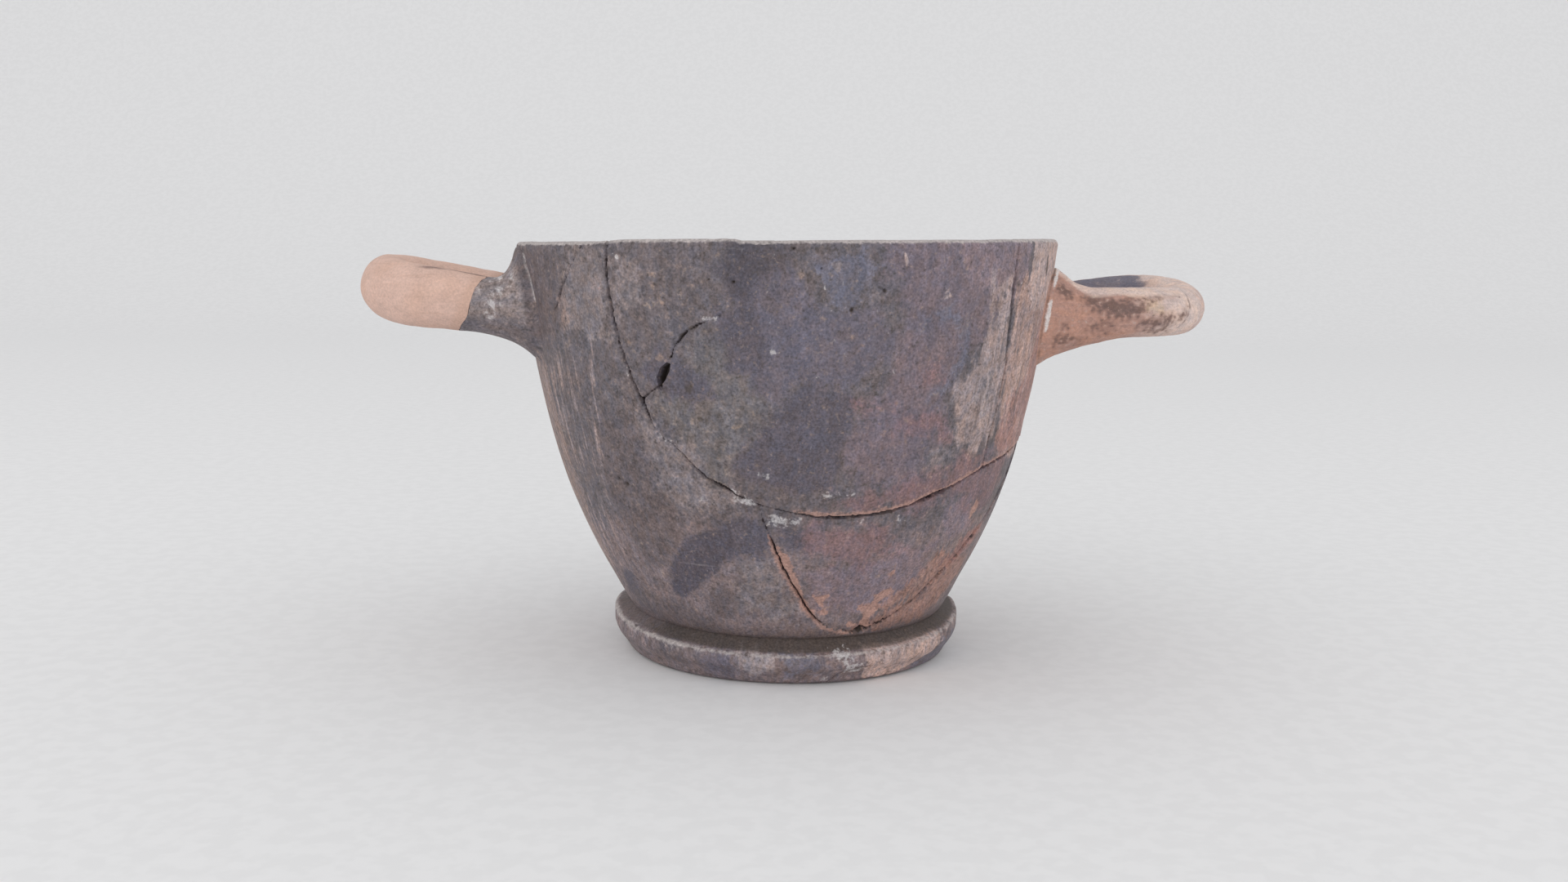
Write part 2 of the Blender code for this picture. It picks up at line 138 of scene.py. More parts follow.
# Patches of the wall, as outlines in the same two numbers, sorted by what shows in them
PATCHES = {
    "violet": (
        ((10.7, 90), (47.9, 90), (46.6, 65.7), (39, 59.1), (35, 55.9), (31.6, 51.2), (32, 45.6),
         (27, 36), (12.4, 36.6), (9.9, 42.3), (10.8, 50.5), (18.8, 57.1), (17.8, 66.4), (12.5, 71.6)),
        ((150, 60), (176, 64), (190, 44), (168, 30), (148, 42)),
    ),
    "mauve": (
        ((31.1, 90), (52.6, 90), (52.6, 71.8), (49.4, 69.8), (48.3, 68.1), (40.3, 68.6), (34.1, 70.7),
         (31, 74)),
        ((36.2, 33.3), (46, 33.3), (52.1, 27.1), (43.6, 24.4)),
        ((-0.9, 21.8), (15.3, 23.1), (40, 26), (36, 17), (18.7, 13), (5.6, 13.5)),
        ((-168, 74), (-150, 76), (-146, 60), (-160, 56)),
    ),
    "olive": (
        ((-24.3, 63.5), (-16.4, 63.2), (-11.1, 58.6), (-5.3, 53.1), (-11.5, 44.4), (-20.1, 37.5),
         (-25, 43), (-32.1, 49.3), (-29, 53.7), (-24.1, 58.2)),
        ((120, 74), (148, 74), (142, 58), (124, 60)),
    ),
    "steel": (
        ((-14.5, 72.3), (-2.6, 73), (2.7, 67.5), (13.7, 66.4), (18.4, 61.1), (12.1, 55.9), (8.9, 53.5),
         (-1.6, 54), (-5.7, 50.7), (-10.5, 53.3), (-13.4, 59.9), (-14.2, 66.5)),
        ((-170, 70), (-140, 62), (-128, 38), (-150, 24), (-172, 40)),
        ((-31, 6.8), (-18.5, 6.8), (-19, 0.8), (-31, 0.8)),
    ),
    "pale": (
        ((-38.3, 49.6), (-31.7, 45.8), (-26.5, 41.8), (-20.4, 37.8), (-15.1, 35.1), (-14.3, 33.4),
         (-23.4, 32.1), (-26.8, 31.3), (-32.3, 35), (-34.6, 39.9), (-36.6, 43.4)),
        ((-48.6, 76.9), (-40, 76.9), (-40.7, 67.5), (-41.1, 62), (-46.1, 60.5), (-53.6, 63.1),
         (-54, 71.1)),
        ((-16.9, 23), (-7.2, 24.9), (-4.1, 20.2), (-0.5, 14.5), (-9.4, 11.8), (-17.9, 14), (-20.4, 18)),
        ((24.3, 24.2), (44.4, 20.9), (37.9, 16.7), (28.2, 19.2)),
        ((-30, 43.6), (-24, 44), (-21, 40.5), (-25, 38)),
        ((-38, 74), (-33, 74), (-32.5, 66), (-38, 65)),
        ((29, 42.4), (36, 42), (36.4, 38.6), (30, 38.6)),
        ((42, 31.6), (49, 31), (51, 27), (44, 25.6)),
        ((-120, 66), (-104, 70), (-100, 52), (-112, 36), (-126, 44)),
    ),
    "umber": (
        ((-49.2, 48.3), (-37.5, 48.6), (-34.9, 41.3), (-35.5, 35.5), (-26.8, 31.3), (-30.9, 25.6),
         (-37.3, 21.6), (-46.5, 20.7), (-48.1, 26.8), (-51.1, 34.1), (-51.6, 41.5)),
        ((-27, 18.2), (-19, 18.6), (-18.3, 12), (-28.8, 11.2)),
        ((-63.1, 90), (-54, 90), (-55, 71.4), (-57, 62.9), (-60.1, 58.4), (-65.9, 57.8), (-72, 66),
         (-74, 90)),
        ((-64, 15), (-52, 15.6), (-24, 12), (-24, 9.2), (-66, 9.2)),
        ((-50, 9), (-38, 8.4), (-36, 2), (-50, 3)),
        ((110, 66), (138, 60), (150, 40), (128, 30), (108, 42)),
    ),
    "dusk": (
        ((-2.8, 53.4), (2.4, 54.4), (8.9, 53.3), (10.8, 47.8), (8.1, 42.4), (6.8, 36.7), (3.2, 35.9),
         (-4, 36.5), (-11.3, 36.7), (-13.8, 38.7), (-13.6, 42.3), (-11.2, 44.4), (-9.1, 46.5),
         (-5.7, 50)),
        ((-61, 17.8), (-55, 18), (-57.2, 14.2), (-68, 12.4), (-65, 15.6)),
        ((-38.1, 19.1), (-35.6, 21.8), (-31.7, 24.9), (-27.2, 27.6), (-23.4, 29.4), (-19.4, 30.7),
         (-15.6, 31.8), (-12.1, 32.1), (-9.9, 31.1), (-8.2, 29.3), (-7.4, 27.5), (-6.9, 25.4),
         (-8.5, 24.3), (-11.7, 24.2), (-14.2, 24.6), (-16.8, 24), (-19.7, 22.9), (-22.2, 21.3),
         (-24.9, 19.7), (-28.7, 18), (-33.1, 16.1), (-36.6, 14.9), (-38.9, 15.6), (-38.7, 17.6)),
        ((-112, 70), (-92, 74), (-96, 62), (-110, 60)),
        ((-16.5, 67), (-8.5, 67), (-6.5, 60), (-9.5, 55.5), (-14.5, 56.5), (-17, 61)),
        ((-34, 56), (-30, 59), (-26.5, 58.5), (-19.5, 55.5), (-17.5, 52), (-22, 50.6), (-29, 51.8)),
        ((-6.6, 30.4), (2, 29.6), (3, 25.6), (-3.6, 25.4)),
    ),
    "ink": (
        ((-18.6, 90), (-3.3, 90), (-2.4, 74.9), (-5, 73), (-7.5, 69.3), (-11.2, 66.7), (-14.2, 67),
         (-16.7, 71.5)),
    ),
    "blue": (
        ((1.8, 75.2), (10.7, 76.1), (13.2, 72.9), (11.8, 70.3), (9.7, 67.1), (4.3, 67.2), (3.1, 71),
         (1.6, 72.9)),
        ((21, 63), (24.6, 66), (29.3, 67), (35.2, 64.6), (36.3, 60.4), (35.2, 57), (33, 54.4),
         (30, 52.2), (27, 50.8), (28.4, 53), (31.3, 55.6), (32.8, 58), (33.4, 60.4), (32.6, 62.8),
         (28.8, 64.6), (25, 63.6)),
        ((-5, 6.2), (9, 6), (8, 2.4), (-4, 1.8)),
        ((44, 2), (50.3, 3.6), (60, 5.4), (90, 6.6), (90, 1), (56.3, 0.2), (46, 0.4)),
    ),
    "red": (
        ((0.7, 31), (22, 30.4), (26.9, 24), (18.2, 21.4), (4.3, 23.4), (-1.1, 27.2)),
        ((24.3, 57.3), (29.3, 57), (29.6, 54.7), (24.4, 54.6)),
        ((4, 36), (20, 36.5), (20, 32.6), (4, 32.4)),
        ((18, 36), (30, 40), (42, 42), (56, 42.5), (68, 41), (64, 34), (54, 27.5), (46, 32.5), (36, 32),
         (22, 31)),
        ((19.8, 50.3), (32.1, 49.5), (34.9, 44.1), (20.4, 46.2)),
        ((11.5, 51.4), (15, 50.7), (14.9, 48.6), (11.7, 48.9)),
        ((-176, 30), (-160, 34), (-148, 22), (-160, 14)),
    ),
    "slate": (
        ((-38.1, 19.1), (-35.6, 21.8), (-31.7, 24.9), (-27.2, 27.6), (-22.1, 29.3), (-17.2, 29),
         (-16.3, 26.8), (-18.1, 24.4), (-21.2, 22.3), (-24.9, 19.7), (-28.7, 18), (-33.1, 16.1),
         (-36.6, 14.9), (-38.9, 15.6), (-38.7, 17.6)),
    ),
    "thin": (
        ((41.4, 71.3), (46.4, 71.2), (49.6, 58.7), (51.5, 48.6), (50.4, 43.4), (43.9, 41.5), (37.6, 44),
         (34.8, 46.5), (33.4, 49.9), (33.1, 53.4), (36, 56.5), (40.4, 63.2)),
        ((44, 6.9), (60, 7.2), (80, 7.2), (80, 6.2), (58, 6), (46, 5.6)),
    ),
    "bloom": (
        ((-17.6, 6.1), (-7.6, 6.4), (-6.9, 3.2), (-12.9, 2.2), (-17.9, 2.8)),
        ((40, 54.6), (44, 55.4), (47, 50), (44.6, 47.2), (41.6, 48), (39.4, 50.4)),
    ),
    "strip": (
        ((54, 71), (92, 90), (104, 76), (100, 42), (64.8, 38.7), (52.4, 39.9), (49.4, 48.8),
         (48.8, 57.3), (48.2, 65.7), (49.1, 69.8)),
    ),
    "rubbed": (
        ((52.9, 90), (92, 90), (90, 70), (82.1, 64.5), (56.7, 65.4), (54, 71)),
        ((18, 75.9), (18.7, 75.9), (19.2, 73.6), (19, 72.2), (18.5, 72.3), (18.3, 74)),
        ((28.1, 70.1), (28.9, 69.2), (29.8, 67.9), (28.4, 68.3), (27.1, 67.9)),
        ((20.6, 7.1), (33.9, 7.1), (54, 7.3), (58.9, 5), (47.6, 2.4), (34.9, 0.6), (22.5, 0.6)),
    ),
    "blush": (
        ((52.7, 49.4), (60, 52.2), (67, 66), (92, 66), (90, 41.6), (74.9, 40.8), (52.7, 39.9),
         (50.6, 43.2)),
        ((56.7, 27.4), (63.9, 25.4), (54.3, 20.8), (47.5, 19), (43.9, 20.7), (48.9, 23.3)),
    ),
    # Salmon: a brownish pink of the slip, which along the left edge also stands for a painted highlight
    "salmon": (
        ((-70.1, 57.8), (-65.5, 49.7), (-62.5, 44), (-63.5, 38.4), (-66, 27.8), (-69.2, 19.7),
         (-73.5, 13), (-100, 14), (-104, 40), (-92, 58), (-76, 59)),
        ((-53.5, 72.8), (-50.8, 72.8), (-52.4, 64.5), (-55.3, 64.1)),
    ),
    "orange": (
        ((41.4, 24.1), (47.7, 22.2), (43.3, 18.5), (35.4, 15), (28.8, 12.4), (26.2, 13.9), (32.3, 17),
         (38, 20.3)),
        ((43.5, 21.8), (51.8, 20.6), (60, 22), (64, 17), (54, 11.4), (42, 9.3), (31.5, 9.2), (17, 9.2),
         (20, 12), (27.4, 12.4), (36.7, 14.4), (39.1, 19.1)),
    ),
    "streaky": (
        ((-66.3, 58.8), (-52.2, 63), (-42.5, 60.6), (-41, 52.3), (-42.1, 40.8), (-45.2, 28.6),
         (-48.3, 18.9), (-60.1, 13), (-96, 14), (-96, 56)),
        ((41.4, 71.3), (54, 71), (84, 70), (84, 39), (35.2, 39.8), (31.5, 49.8), (31.9, 54.6),
         (36.9, 57.9), (40.4, 63.2)),
        ((96, 62), (112, 60), (112, 30), (96, 30)),
    ),
    "freckles": (
        ((-37.6, 76.9), (-14, 76.6), (-16.3, 66.5), (-22.9, 63.8), (-28.4, 58.3), (-35.2, 54),
         (-37.2, 63.5)),
        ((-57.7, 62.1), (-46.7, 63.2), (-44.3, 53.5), (-51.4, 51.7)),
        ((-46, 24), (-38, 24), (-30, 13), (-8, 11), (-10, 9.6), (-50, 9.6)),
        ((60, 30), (120, 60), (160, 30), (120, 12)),
    ),
    "smudge": (
        ((-24.2, 54.1), (-23.1, 54.5), (-22.3, 53.6), (-23, 52.6), (-24, 52.9)),
        ((-21.8, 48.8), (-19.8, 49.2), (-20.1, 48.3), (-21.7, 48.2)),
        ((-27.9, 55.1), (-27, 54.8), (-27.3, 54.1), (-28, 54.3)),
        ((-24.4, 62.7), (-23.3, 62.9), (-23.4, 62.1), (-24.2, 61.2), (-24.7, 61.4)),
        ((-22.4, 63.8), (-20.7, 64.2), (-20.6, 63.7), (-22.1, 63.3)),
        ((62.3, 74.6), (63, 74.9), (64.6, 72.6), (64.4, 71.2), (63.4, 71), (62.6, 72.6)),
    ),
    "bare": (
        ((28.3, 17.7), (29.7, 16.6), (27, 15.8), (25.6, 14.8), (26.7, 13.2), (23.3, 12.4), (23.1, 11.2),
         (25.7, 10.4), (23.9, 9.7), (21.8, 9.2), (19.6, 9.2), (20, 10.4), (20.6, 12.6), (21.5, 13.5),
         (18.8, 13.9), (18.7, 14.5), (22.1, 14.5), (23.5, 15.5), (23.5, 16.4), (25.6, 17.2)),
        ((-6.1, 26.7), (-3.7, 24.9), (-1.5, 21.8), (0.4, 18.6), (3.1, 15.3), (5.6, 12.6), (1.9, 14.5),
         (-0.7, 17.5), (-3.2, 21), (-5.7, 24.3)),
        ((4, 17.1), (5.2, 16.7), (6.7, 17), (9.2, 17.2), (8, 16.4), (7, 14.9), (6.1, 15.3),
         (5.4, 16.2)),
        ((6, 13.9), (7.6, 14.2), (9.4, 13.6), (7.8, 13.2)),
        ((16.1, 11.3), (18.9, 11.5), (19.3, 10.6), (17, 10.5)),
        ((26, 20.6), (27.2, 21.2), (27.4, 19.9), (26.3, 19.6)),
        ((50, 30.8), (51.6, 32.4), (52.4, 30.2), (50.8, 28.9)),
    ),
    "lime": (
        ((-8.2, 32.1), (-5.9, 32.4), (-3.1, 31.8), (-0.3, 31.7), (-1, 30.2), (-4.1, 30.1),
         (-7.9, 30.5)),
        ((-31.3, 45.2), (-30.2, 45.2), (-28.3, 43.9), (-29, 43.5), (-30.6, 44.4)),
        ((-16.2, 36.8), (-13, 35.9), (-10.2, 34.9), (-9.9, 33.7), (-12, 33.2), (-15.6, 34.6)),
        ((-20.4, 64.9), (-18.2, 65.3), (-16.3, 65.5), (-16.2, 65.2), (-18.2, 64.8), (-20.3, 64.5)),
        ((8.2, 31.2), (12.3, 31.1), (16.9, 31.3), (15.9, 30.9), (12.5, 30.8), (8.6, 30.9)),
        ((3.7, 36.2), (8.4, 36), (12.1, 36.5), (11.9, 35.3), (8.9, 34.8), (4.7, 35.3)),
        ((23.7, 31.5), (25.4, 31.7), (26.1, 30.4), (24.6, 30.2)),
        ((10.5, 7.2), (16.8, 7), (17.3, 4.8), (11.4, 4.7)),
        ((14.1, 4.5), (22.4, 4.5), (21.9, 2.2), (14.7, 2.3)),
        ((7.1, 2.2), (9.8, 2.2), (10.3, 1), (7.8, 1.1)),
    ),
}
# Chalky scratches and the line of glue on the left stub, as seen from the front: millimetres to the
# side and above the table
STUB_CHALK = (
    ((-54.6, 71.6), (-49, 71.9), (-48.6, 69), (-51.4, 65.8), (-53.4, 62.2), (-58.6, 62), (-57.6, 66)),
)
ROOT_GLUE = (
    (-48.6, 74.6), (-48.2, 72.6), (-47.3, 70.2), (-46.8, 68.2), (-46.3, 66.2),
)

# Stains on the right handle's front branch in the same numbers, sorted by their tone, and the dark
# arc on its nose
HANDLE_STAINS = {
    "dark": (
        ((52.2, 68.6), (55.6, 68.9), (60, 68.2), (62.6, 67.6), (63.4, 65.2), (62, 63.8), (57.4, 64.2),
         (54.4, 65.2), (52.4, 66.4)),
        ((52.6, 63.6), (55.2, 63.9), (58.2, 63.5), (58, 62.5), (53, 62.4)),
        ((61.6, 64.6), (65, 64.8), (68.8, 64.6), (68.6, 62.6), (64.8, 62), (61.8, 62.4)),
        ((64.4, 69.9), (67.4, 70.3), (70.3, 70.1), (70.6, 68.9), (67, 68.5), (64.6, 68.3)),
        ((70.6, 65.9), (72, 66.2), (72.2, 65.2), (70.8, 64.8)),
        ((46.4, 70.2), (48.6, 70.4), (50.4, 69.2), (49.4, 68), (46.8, 68.6)),
        ((46.2, 72.9), (47.6, 72.6), (47.4, 71.2), (46.2, 71.2)),
        ((46.9, 61), (49, 60.8), (51.6, 60.4), (51.2, 59.5), (48.6, 59.2), (46.8, 59.8)),
        ((47.8, 63.6), (48.8, 63.4), (48.7, 62.5), (47.9, 62.6)),
    ),
    "cream": (
        ((56, 70.6), (64.5, 70.4), (64.8, 68.4), (61, 68.8), (57, 69.2)),
        ((63.6, 67.4), (66.8, 67.8), (68, 66), (65.4, 65.2), (63.6, 65.8)),
        ((57.6, 66.4), (60.4, 66.2), (60.2, 65.4), (57.8, 65.5)),
    ),
}
NOSE_ARC = (
    (70.6, 70.5), (71.6, 69.9), (72.5, 68.8), (72.9, 66.9), (72.5, 65.2), (71.4, 63.6), (70.4, 62.7),
)

# How far, in millimetres, each kind of patch fades out on either side of its outline
REACHES = {
    "violet": 7.0, "mauve": 3.5, "olive": 7.0, "steel": 6.0, "pale": 5.0, "umber": 5.0, "dusk": 3.5,
    "ink": 6.0, "blue": 3.5, "red": 5.0, "slate": 1.8, "thin": 3.5, "bloom": 3.0, "strip": 3.0,
    "rubbed": 0.8, "blush": 3.0, "salmon": 4.0, "orange": 2.0, "streaky": 5.0, "freckles": 8.0,
    "smudge": 0.5, "bare": 1.0, "lime": 1.0,
}
# Kinds of slip that stayed smooth and kinds that are rubbed coarse
SMOOTH_SLIP = ("violet", "mauve", "steel", "dusk", "ink", "blue", "red", "slate")
COARSE_SLIP = ("thin", "strip", "rubbed", "salmon")
# Patches with sharp edges, which lie on the outer skin only
SHARP_PATCHES = ("bare", "lime", "smudge")
# How far sherds stand out left and right of a seam, and how far off it that has faded
SHERD_STEPS = {
    "long_lower": (0.22, -0.28, 3.0), "foot_left": (-0.12, 0.05, 2.5), "foot_right": (0.1, -0.15, 3.0),
}

# Heights, radii and lengths in millimetres
LEDGE_HEIGHT = 9.0  # of the foot's ledge above the table
BELLY_HEIGHT = 6.4  # where the foot is widest
LEDGE_RISE = 2.6  # from there up to the ledge
BOWL_RISE = 68.6  # from the ledge to the rim
WALL_FOOT = 29.9  # radius where the bowl's wall meets the foot's ledge
LEDGE_CORNER = 0.6  # rounding of the ledge's outer corner
LEDGE_SLOPE = 0.7  # how much lower that corner is than the wall's foot
LOWER_ZONE = 29.0  # middle of the blend from the upper bowl's colour to the lower one's
LOWER_REACH = 6.0
DRUM_RADIUS = 43.0  # of the even drum that streaks and turning lines are drawn on
FAR = 1e3  # further than anything lies from a mark
CLEAR = 3.0  # a distance that leaves a mask clear of gaps and sharp patches
SKIN = 0.7  # how near the turned wall a vertex of its outer skin lies

# How deep or high the marks are
BARE_DEPTH = 0.2
LIME_HEIGHT = 0.06
PIT_DEPTH = 0.7
LIP_CHIPS = 0.45
FOOT_CHIPS = 0.35
LIP_RAISED, LIP_SUNK = 0.22, 0.12  # the lip's sherds either side of the seams
MARK_REACHES = (1.1, 0.55)  # how far from the marks the mesh is divided, once for each
BREAK_REACH = 3.0  # how far from the break its wave has faded

# Where the wall's two curve handles stand: share of its rise, and how far out for each rise
WALL_LOW = (0.236, 0.609)
WALL_HIGH = (0.584, 0.124)
# Points along the outer wall, the inner wall and the table of the wall, and faces round the cup
WALL_STEPS = 82
INNER_STEPS = 30
TABLE_STEPS = 200
ANGLES_ROUND = 360

# How far the hand-thrown bowl is out of true
BOWL_OFFSET = 0.1
RIM_LEAN = -1.0
RIM_TILT = math.radians(1.24)

# Sizes of the handles that aren't in the panel, in millimetres
HALF_SPREAD = 12.8  # half the distance between the two branches' middles
STRAIGHT_RUN = 14.0  # length of a branch from the wall to the bend
FLARE_OUT = 1.6  # how much wider each side is at the wall
HANDLE_STEP = 0.5  # distance between sections
SECTION_SIDES = 56
ROOT_BLEND = 9.0  # distance over which a root stops following the wall
ROOT_EMBED = 1.7  # how deep the left stub's roots reach into the wall
GLUED_EMBED = 0.8  # the same for the glued right handle
TOP_LIMIT = 75.6  # height that no flare passes
BREAK_GAP = 0.03  # half of the gap between the stub and the plaster
BREAK_POINT = Vector((-57.4, 0.0, 66.1))
BREAK_LEAN = math.radians(28.8)
BREAK_FACING = (math.cos(BREAK_LEAN), 0.0, -math.sin(BREAK_LEAN))
# The break's wave: heights and how far the break bows out to the right of its plane there
BREAK_WAVE = (
    (60, 0.1), (62.2, 0.35), (64.1, 0.85), (66.9, 0.05), (69, -0.6), (70.5, -0.3), (72.1, 0.35),
)

# Sizes in millimetres that the two handles don't share with the panel's defaults
LEFT_HANDLE = {
    "reach": 80.1, "root_height": 64.4, "rise": 3.3, "rod_width": 9.5, "root_thickness": 8.9,
    "end_thickness": 12.0, "twist": 0.4, "flare_up": 10.7, "flare_up_length": 3.6,
    "flare_down": 8.6, "flare_down_length": 2.9,
}
RIGHT_HANDLE = {
    "reach": 79.1, "root_height": 64.1, "rise": 2.5, "rod_width": 9.4, "root_thickness": 9.2,
    "end_thickness": 9.0, "twist": 1.8, "flare_up": 4.7, "flare_up_length": 4.2,
    "flare_down": 4.7, "flare_down_length": 5.3,
}

# The camera, fitted to the photo: turn, pitch and roll in degrees, its place before the turn in
# millimetres and its focal length in the photo's own pixels
CAMERA_TURN, CAMERA_PITCH, CAMERA_ROLL = -3.5, 90 - 7.35, 0.96
CAMERA_PLACE = Vector((-0.85, -289.7, 76.71))
FOCAL_PIXELS = 1861.0
PHOTO_WIDTH = 1920
SENSOR_WIDTH = 36

# The studio, in metres and watts
SHEET_SIZE, SHEET_HEIGHT, SHEET_BEND = 3.0, 2.0, 0.6
SOFTBOXES = {
    "key_softbox": ((-0.55, -0.75, 0.65), 0.7, 0.8),
    "low_softbox": ((0.1, -1.0, 0.12), 0.6, 1.6),
    "left_softbox": ((-1.0, -0.15, 0.35), 0.7, 0.6),
    "right_softbox": ((1.0, -0.15, 0.35), 0.7, 0.35),
}
SKY_STRENGTH = 0.8


def hex_to_linear(code):
    """Linear red, green, blue and alpha of an sRGB hex colour."""
    channels = []
    for start in (0, 2, 4):
        value = int(code[start : start + 2], 16) / 255
        channels.append(value / 12.92 if value <= 0.04045 else ((value + 0.055) / 1.055) ** 2.4)
    return (*channels, 1.0)


def length(name, millimetres, description):
    return bpy.props.FloatProperty(
        name=name, description=description, default=millimetres * MM, unit="LENGTH", precision=5
    )


def colour(name, code, description):
    shown = {"size": 4, "min": 0, "max": 1, "subtype": "COLOR"}
    return bpy.props.FloatVectorProperty(
        name=name, description=description, default=hex_to_linear(code), **shown
    )


class SkyphosCupSizes(bpy.types.PropertyGroup):
    """Sizes of the turned cup."""

    rim_height: length("Rim height", 77.6, "Height of the lip above the table")
    rim_radius: length("Rim radius", 50.4, "Outer radius of the lip")
    lip_wall: length("Lip wall", 3.6, "Thickness of the wall under the lip")
    lower_wall: length("Lower wall", 4.8, "Thickness of the wall above the foot")
    lip_rounding: length("Lip rounding", 1.0, "Radius that the lip is worn to")
    floor_height: length("Floor height", 10.4, "Height of the inner floor above the table")
    foot_top: length("Foot top", LEDGE_HEIGHT, "Height of the ledge round the foot")
    foot_radius: length("Foot radius", 33.1, "Largest radius of the foot")
    foot_belly_height: length("Foot belly height", BELLY_HEIGHT, "Height where the foot is widest")
    base_radius: length("Base radius", 29.7, "Radius of the ring that the cup stands on")
    recess_depth: length("Recess depth", 4.2, "Depth of the hollow under the foot")
    base_shift: length("Base shift", 0.2, "How far the base ring sits off the bowl's axis")
    foot_dip: length("Foot dip", 2.3, "How much lower the foot's edge is at the front than behind")


class SkyphosHandleSizes(bpy.types.PropertyGroup):
    """Sizes of one loop handle."""

    reach: length("Reach", 79.6, "Distance from the cup's axis to the handle's end")
    root_height: length("Root height", 64.4, "Height of the rod's middle at the wall")
    rise: length("Rise", 3.0, "How much higher the end is than the root")
    rise_power: bpy.props.FloatProperty(
        name="Rise power", description="How early it rises", default=1.0
    )
    rod_width: length("Rod width", 9.5, "Width of the rod, seen from above")
    root_thickness: length("Root thickness", 8.8, "Height of the rod's section at the wall")
    end_thickness: length("End thickness", 10.5, "Height of the rod's section at the end")
    twist: length("Twist", 1.0, "How much higher the rear branch is than the front one")
    flare_up: length("Upper flare", 7.0, "How far the clay spreads upwards at the root")
    flare_up_length: length("Upper flare length", 4.2, "How far along the rod the upper flare reaches")
    flare_down: length("Lower flare", 3.6, "How far the clay spreads downwards at the root")
    flare_down_length: length(
        "Lower flare length", 5.0, "How far along the rod the lower flare reaches"
    )


class SkyphosColours(bpy.types.PropertyGroup):
    """Colours of the clay, the slip, the mends and the studio."""

    slip: colour("Slip", "6c6467", "Warm grey of the worn slip")
    slip_lower: colour("Lower slip", "827475", "Paler brownish grey of the lower bowl")
    slip_violet: colour("Violet slip", "786c74", "Where the slip fired purplish")
    slip_mauve: colour("Mauve slip", "86767c", "Paler and pinker than the violet")
    slip_olive: colour("Sandy slip", "736c6c", "Sandy grey, where soil stained the slip")
    slip_steel: colour("Steel slip", "6b6570", "Cooler and darker than the rest")
    slip_pale: colour("Pale slip", "847a7b", "Paler grey clouds")
    slip_umber: colour("Umber slip", "6a6062", "Brownish darker clouds")
    slip_dusk: colour("Dusky slip", "5f5962", "Dark blue-grey clouds")
    slip_ink: colour("Ink slip", "4f4a52", "The darkest cloud, under the lip")
    slip_blue: colour("Blue-grey slip", "6f6d7a", "Thin bluish bloom on the slip")
    slip_red: colour("Red slip", "876a6c", "Where the fire turned the slip red")
    slip_slate: colour("Slate slip", "58525b", "The dark lobe above the foot")
    slip_thin: colour("Thin slip", "a59492", "Beige, where the slip is rubbed thin")
    slip_bloom: colour("Pale bloom", "9b9091", "Grey bloom of salts where the slip is gone")
    slip_strip: colour("Pink slip", "b0968f", "Pinkish beige beside the mended seam")
    slip_rubbed: colour("Rubbed slip", "bfa8a1", "Beige clay, where the slip is nearly gone")
    slip_blush: colour("Blushed slip", "9f7871", "Reddish clay beside the mends")
    # Along the left edge this colour also stands for a painted highlight
    slip_salmon: colour("Salmon slip", "96817a", "Brownish pink along the left edge")
    clay_tan: colour("Tan clay", "9f8a7b", "Clay that shows through in specks")
    clay_bare: colour("Bare clay", "b48d80", "Pink clay of fresh chips")
    clay_orange: colour("Orange clay", "9e7a6e", "Clay stained orange along a mend")
    lime: colour("Lime", "cbc7c8", "White crust left by the soil")
    # Real soil in specks, smudges and pits, and also painted shade in corners, the hole and the
    # handles' joins
    soil: colour("Soil", "463d37", "Dark soil in the corners")
    # The dark inside of the seams is dirt, and also painted shade in their grooves
    gap: colour("Gap", "33272a", "Inside of the open seams")
    # Rubbed wear on the edges of lip and foot, and also a painted highlight along them
    wear: colour("Wear", "b9b0ae", "Rubbed edges of lip and foot")
    stub: colour("Stub", "8f8687", "Grey of the left handle's stub")
    handle_clay: colour("Handle clay", "b88f80", "Orange-tan clay of the right handle's root")
    handle_pale: colour("Pale handle clay", "dbc5bc", "Pinkish clay of the right handle's end")
    handle_cream: colour("Cream handle clay", "c8b19d", "Cream patches on the right handle")
    handle_dark: colour("Handle stains", "6d5854", "Brown-grey stains on the right handle")
    plaster: colour("Plaster", "d8b7a9", "Tinted plaster of the left handle's end")
    plaster_shade: colour("Plaster stain", "cba897", "Warmer blotches of the plaster")
    glue: colour("Glue", "e0dad8", "Dried white glue")
    floor: colour("Studio floor", "f0f0f1", "Pale paper under and behind the cup")


class SkyphosSettings(bpy.types.PropertyGroup):
    """All that a user can change."""

    cup: bpy.props.PointerProperty(type=SkyphosCupSizes)
    left: bpy.props.PointerProperty(type=SkyphosHandleSizes)
    right: bpy.props.PointerProperty(type=SkyphosHandleSizes)
    colours: bpy.props.PointerProperty(type=SkyphosColours)


# ---------------------------------------------------------------- shapes in millimetres


def bezier(corners, steps):
    points = []
    for step in range(steps + 1):
        t = step / steps
        s = 1 - t
        weights = (s**3, 3 * s * s * t, 3 * s * t * t, t**3)
        points.append(tuple(sum(w * c[axis] for w, c in zip(weights, corners)) for axis in (0, 1)))
    return points


def arc(centre, radius, first_degrees, last_degrees, steps):
    points = []
    for step in range(steps + 1):
        angle = math.radians(first_degrees + (last_degrees - first_degrees) * step / steps)
        points.append((centre[0] + radius * math.cos(angle), centre[1] + radius * math.sin(angle)))
    return points


def straight(start, end, steps):
    return [
        tuple(start[axis] + (end[axis] - start[axis]) * step / steps for axis in (0, 1))
        for step in range(steps)
    ]


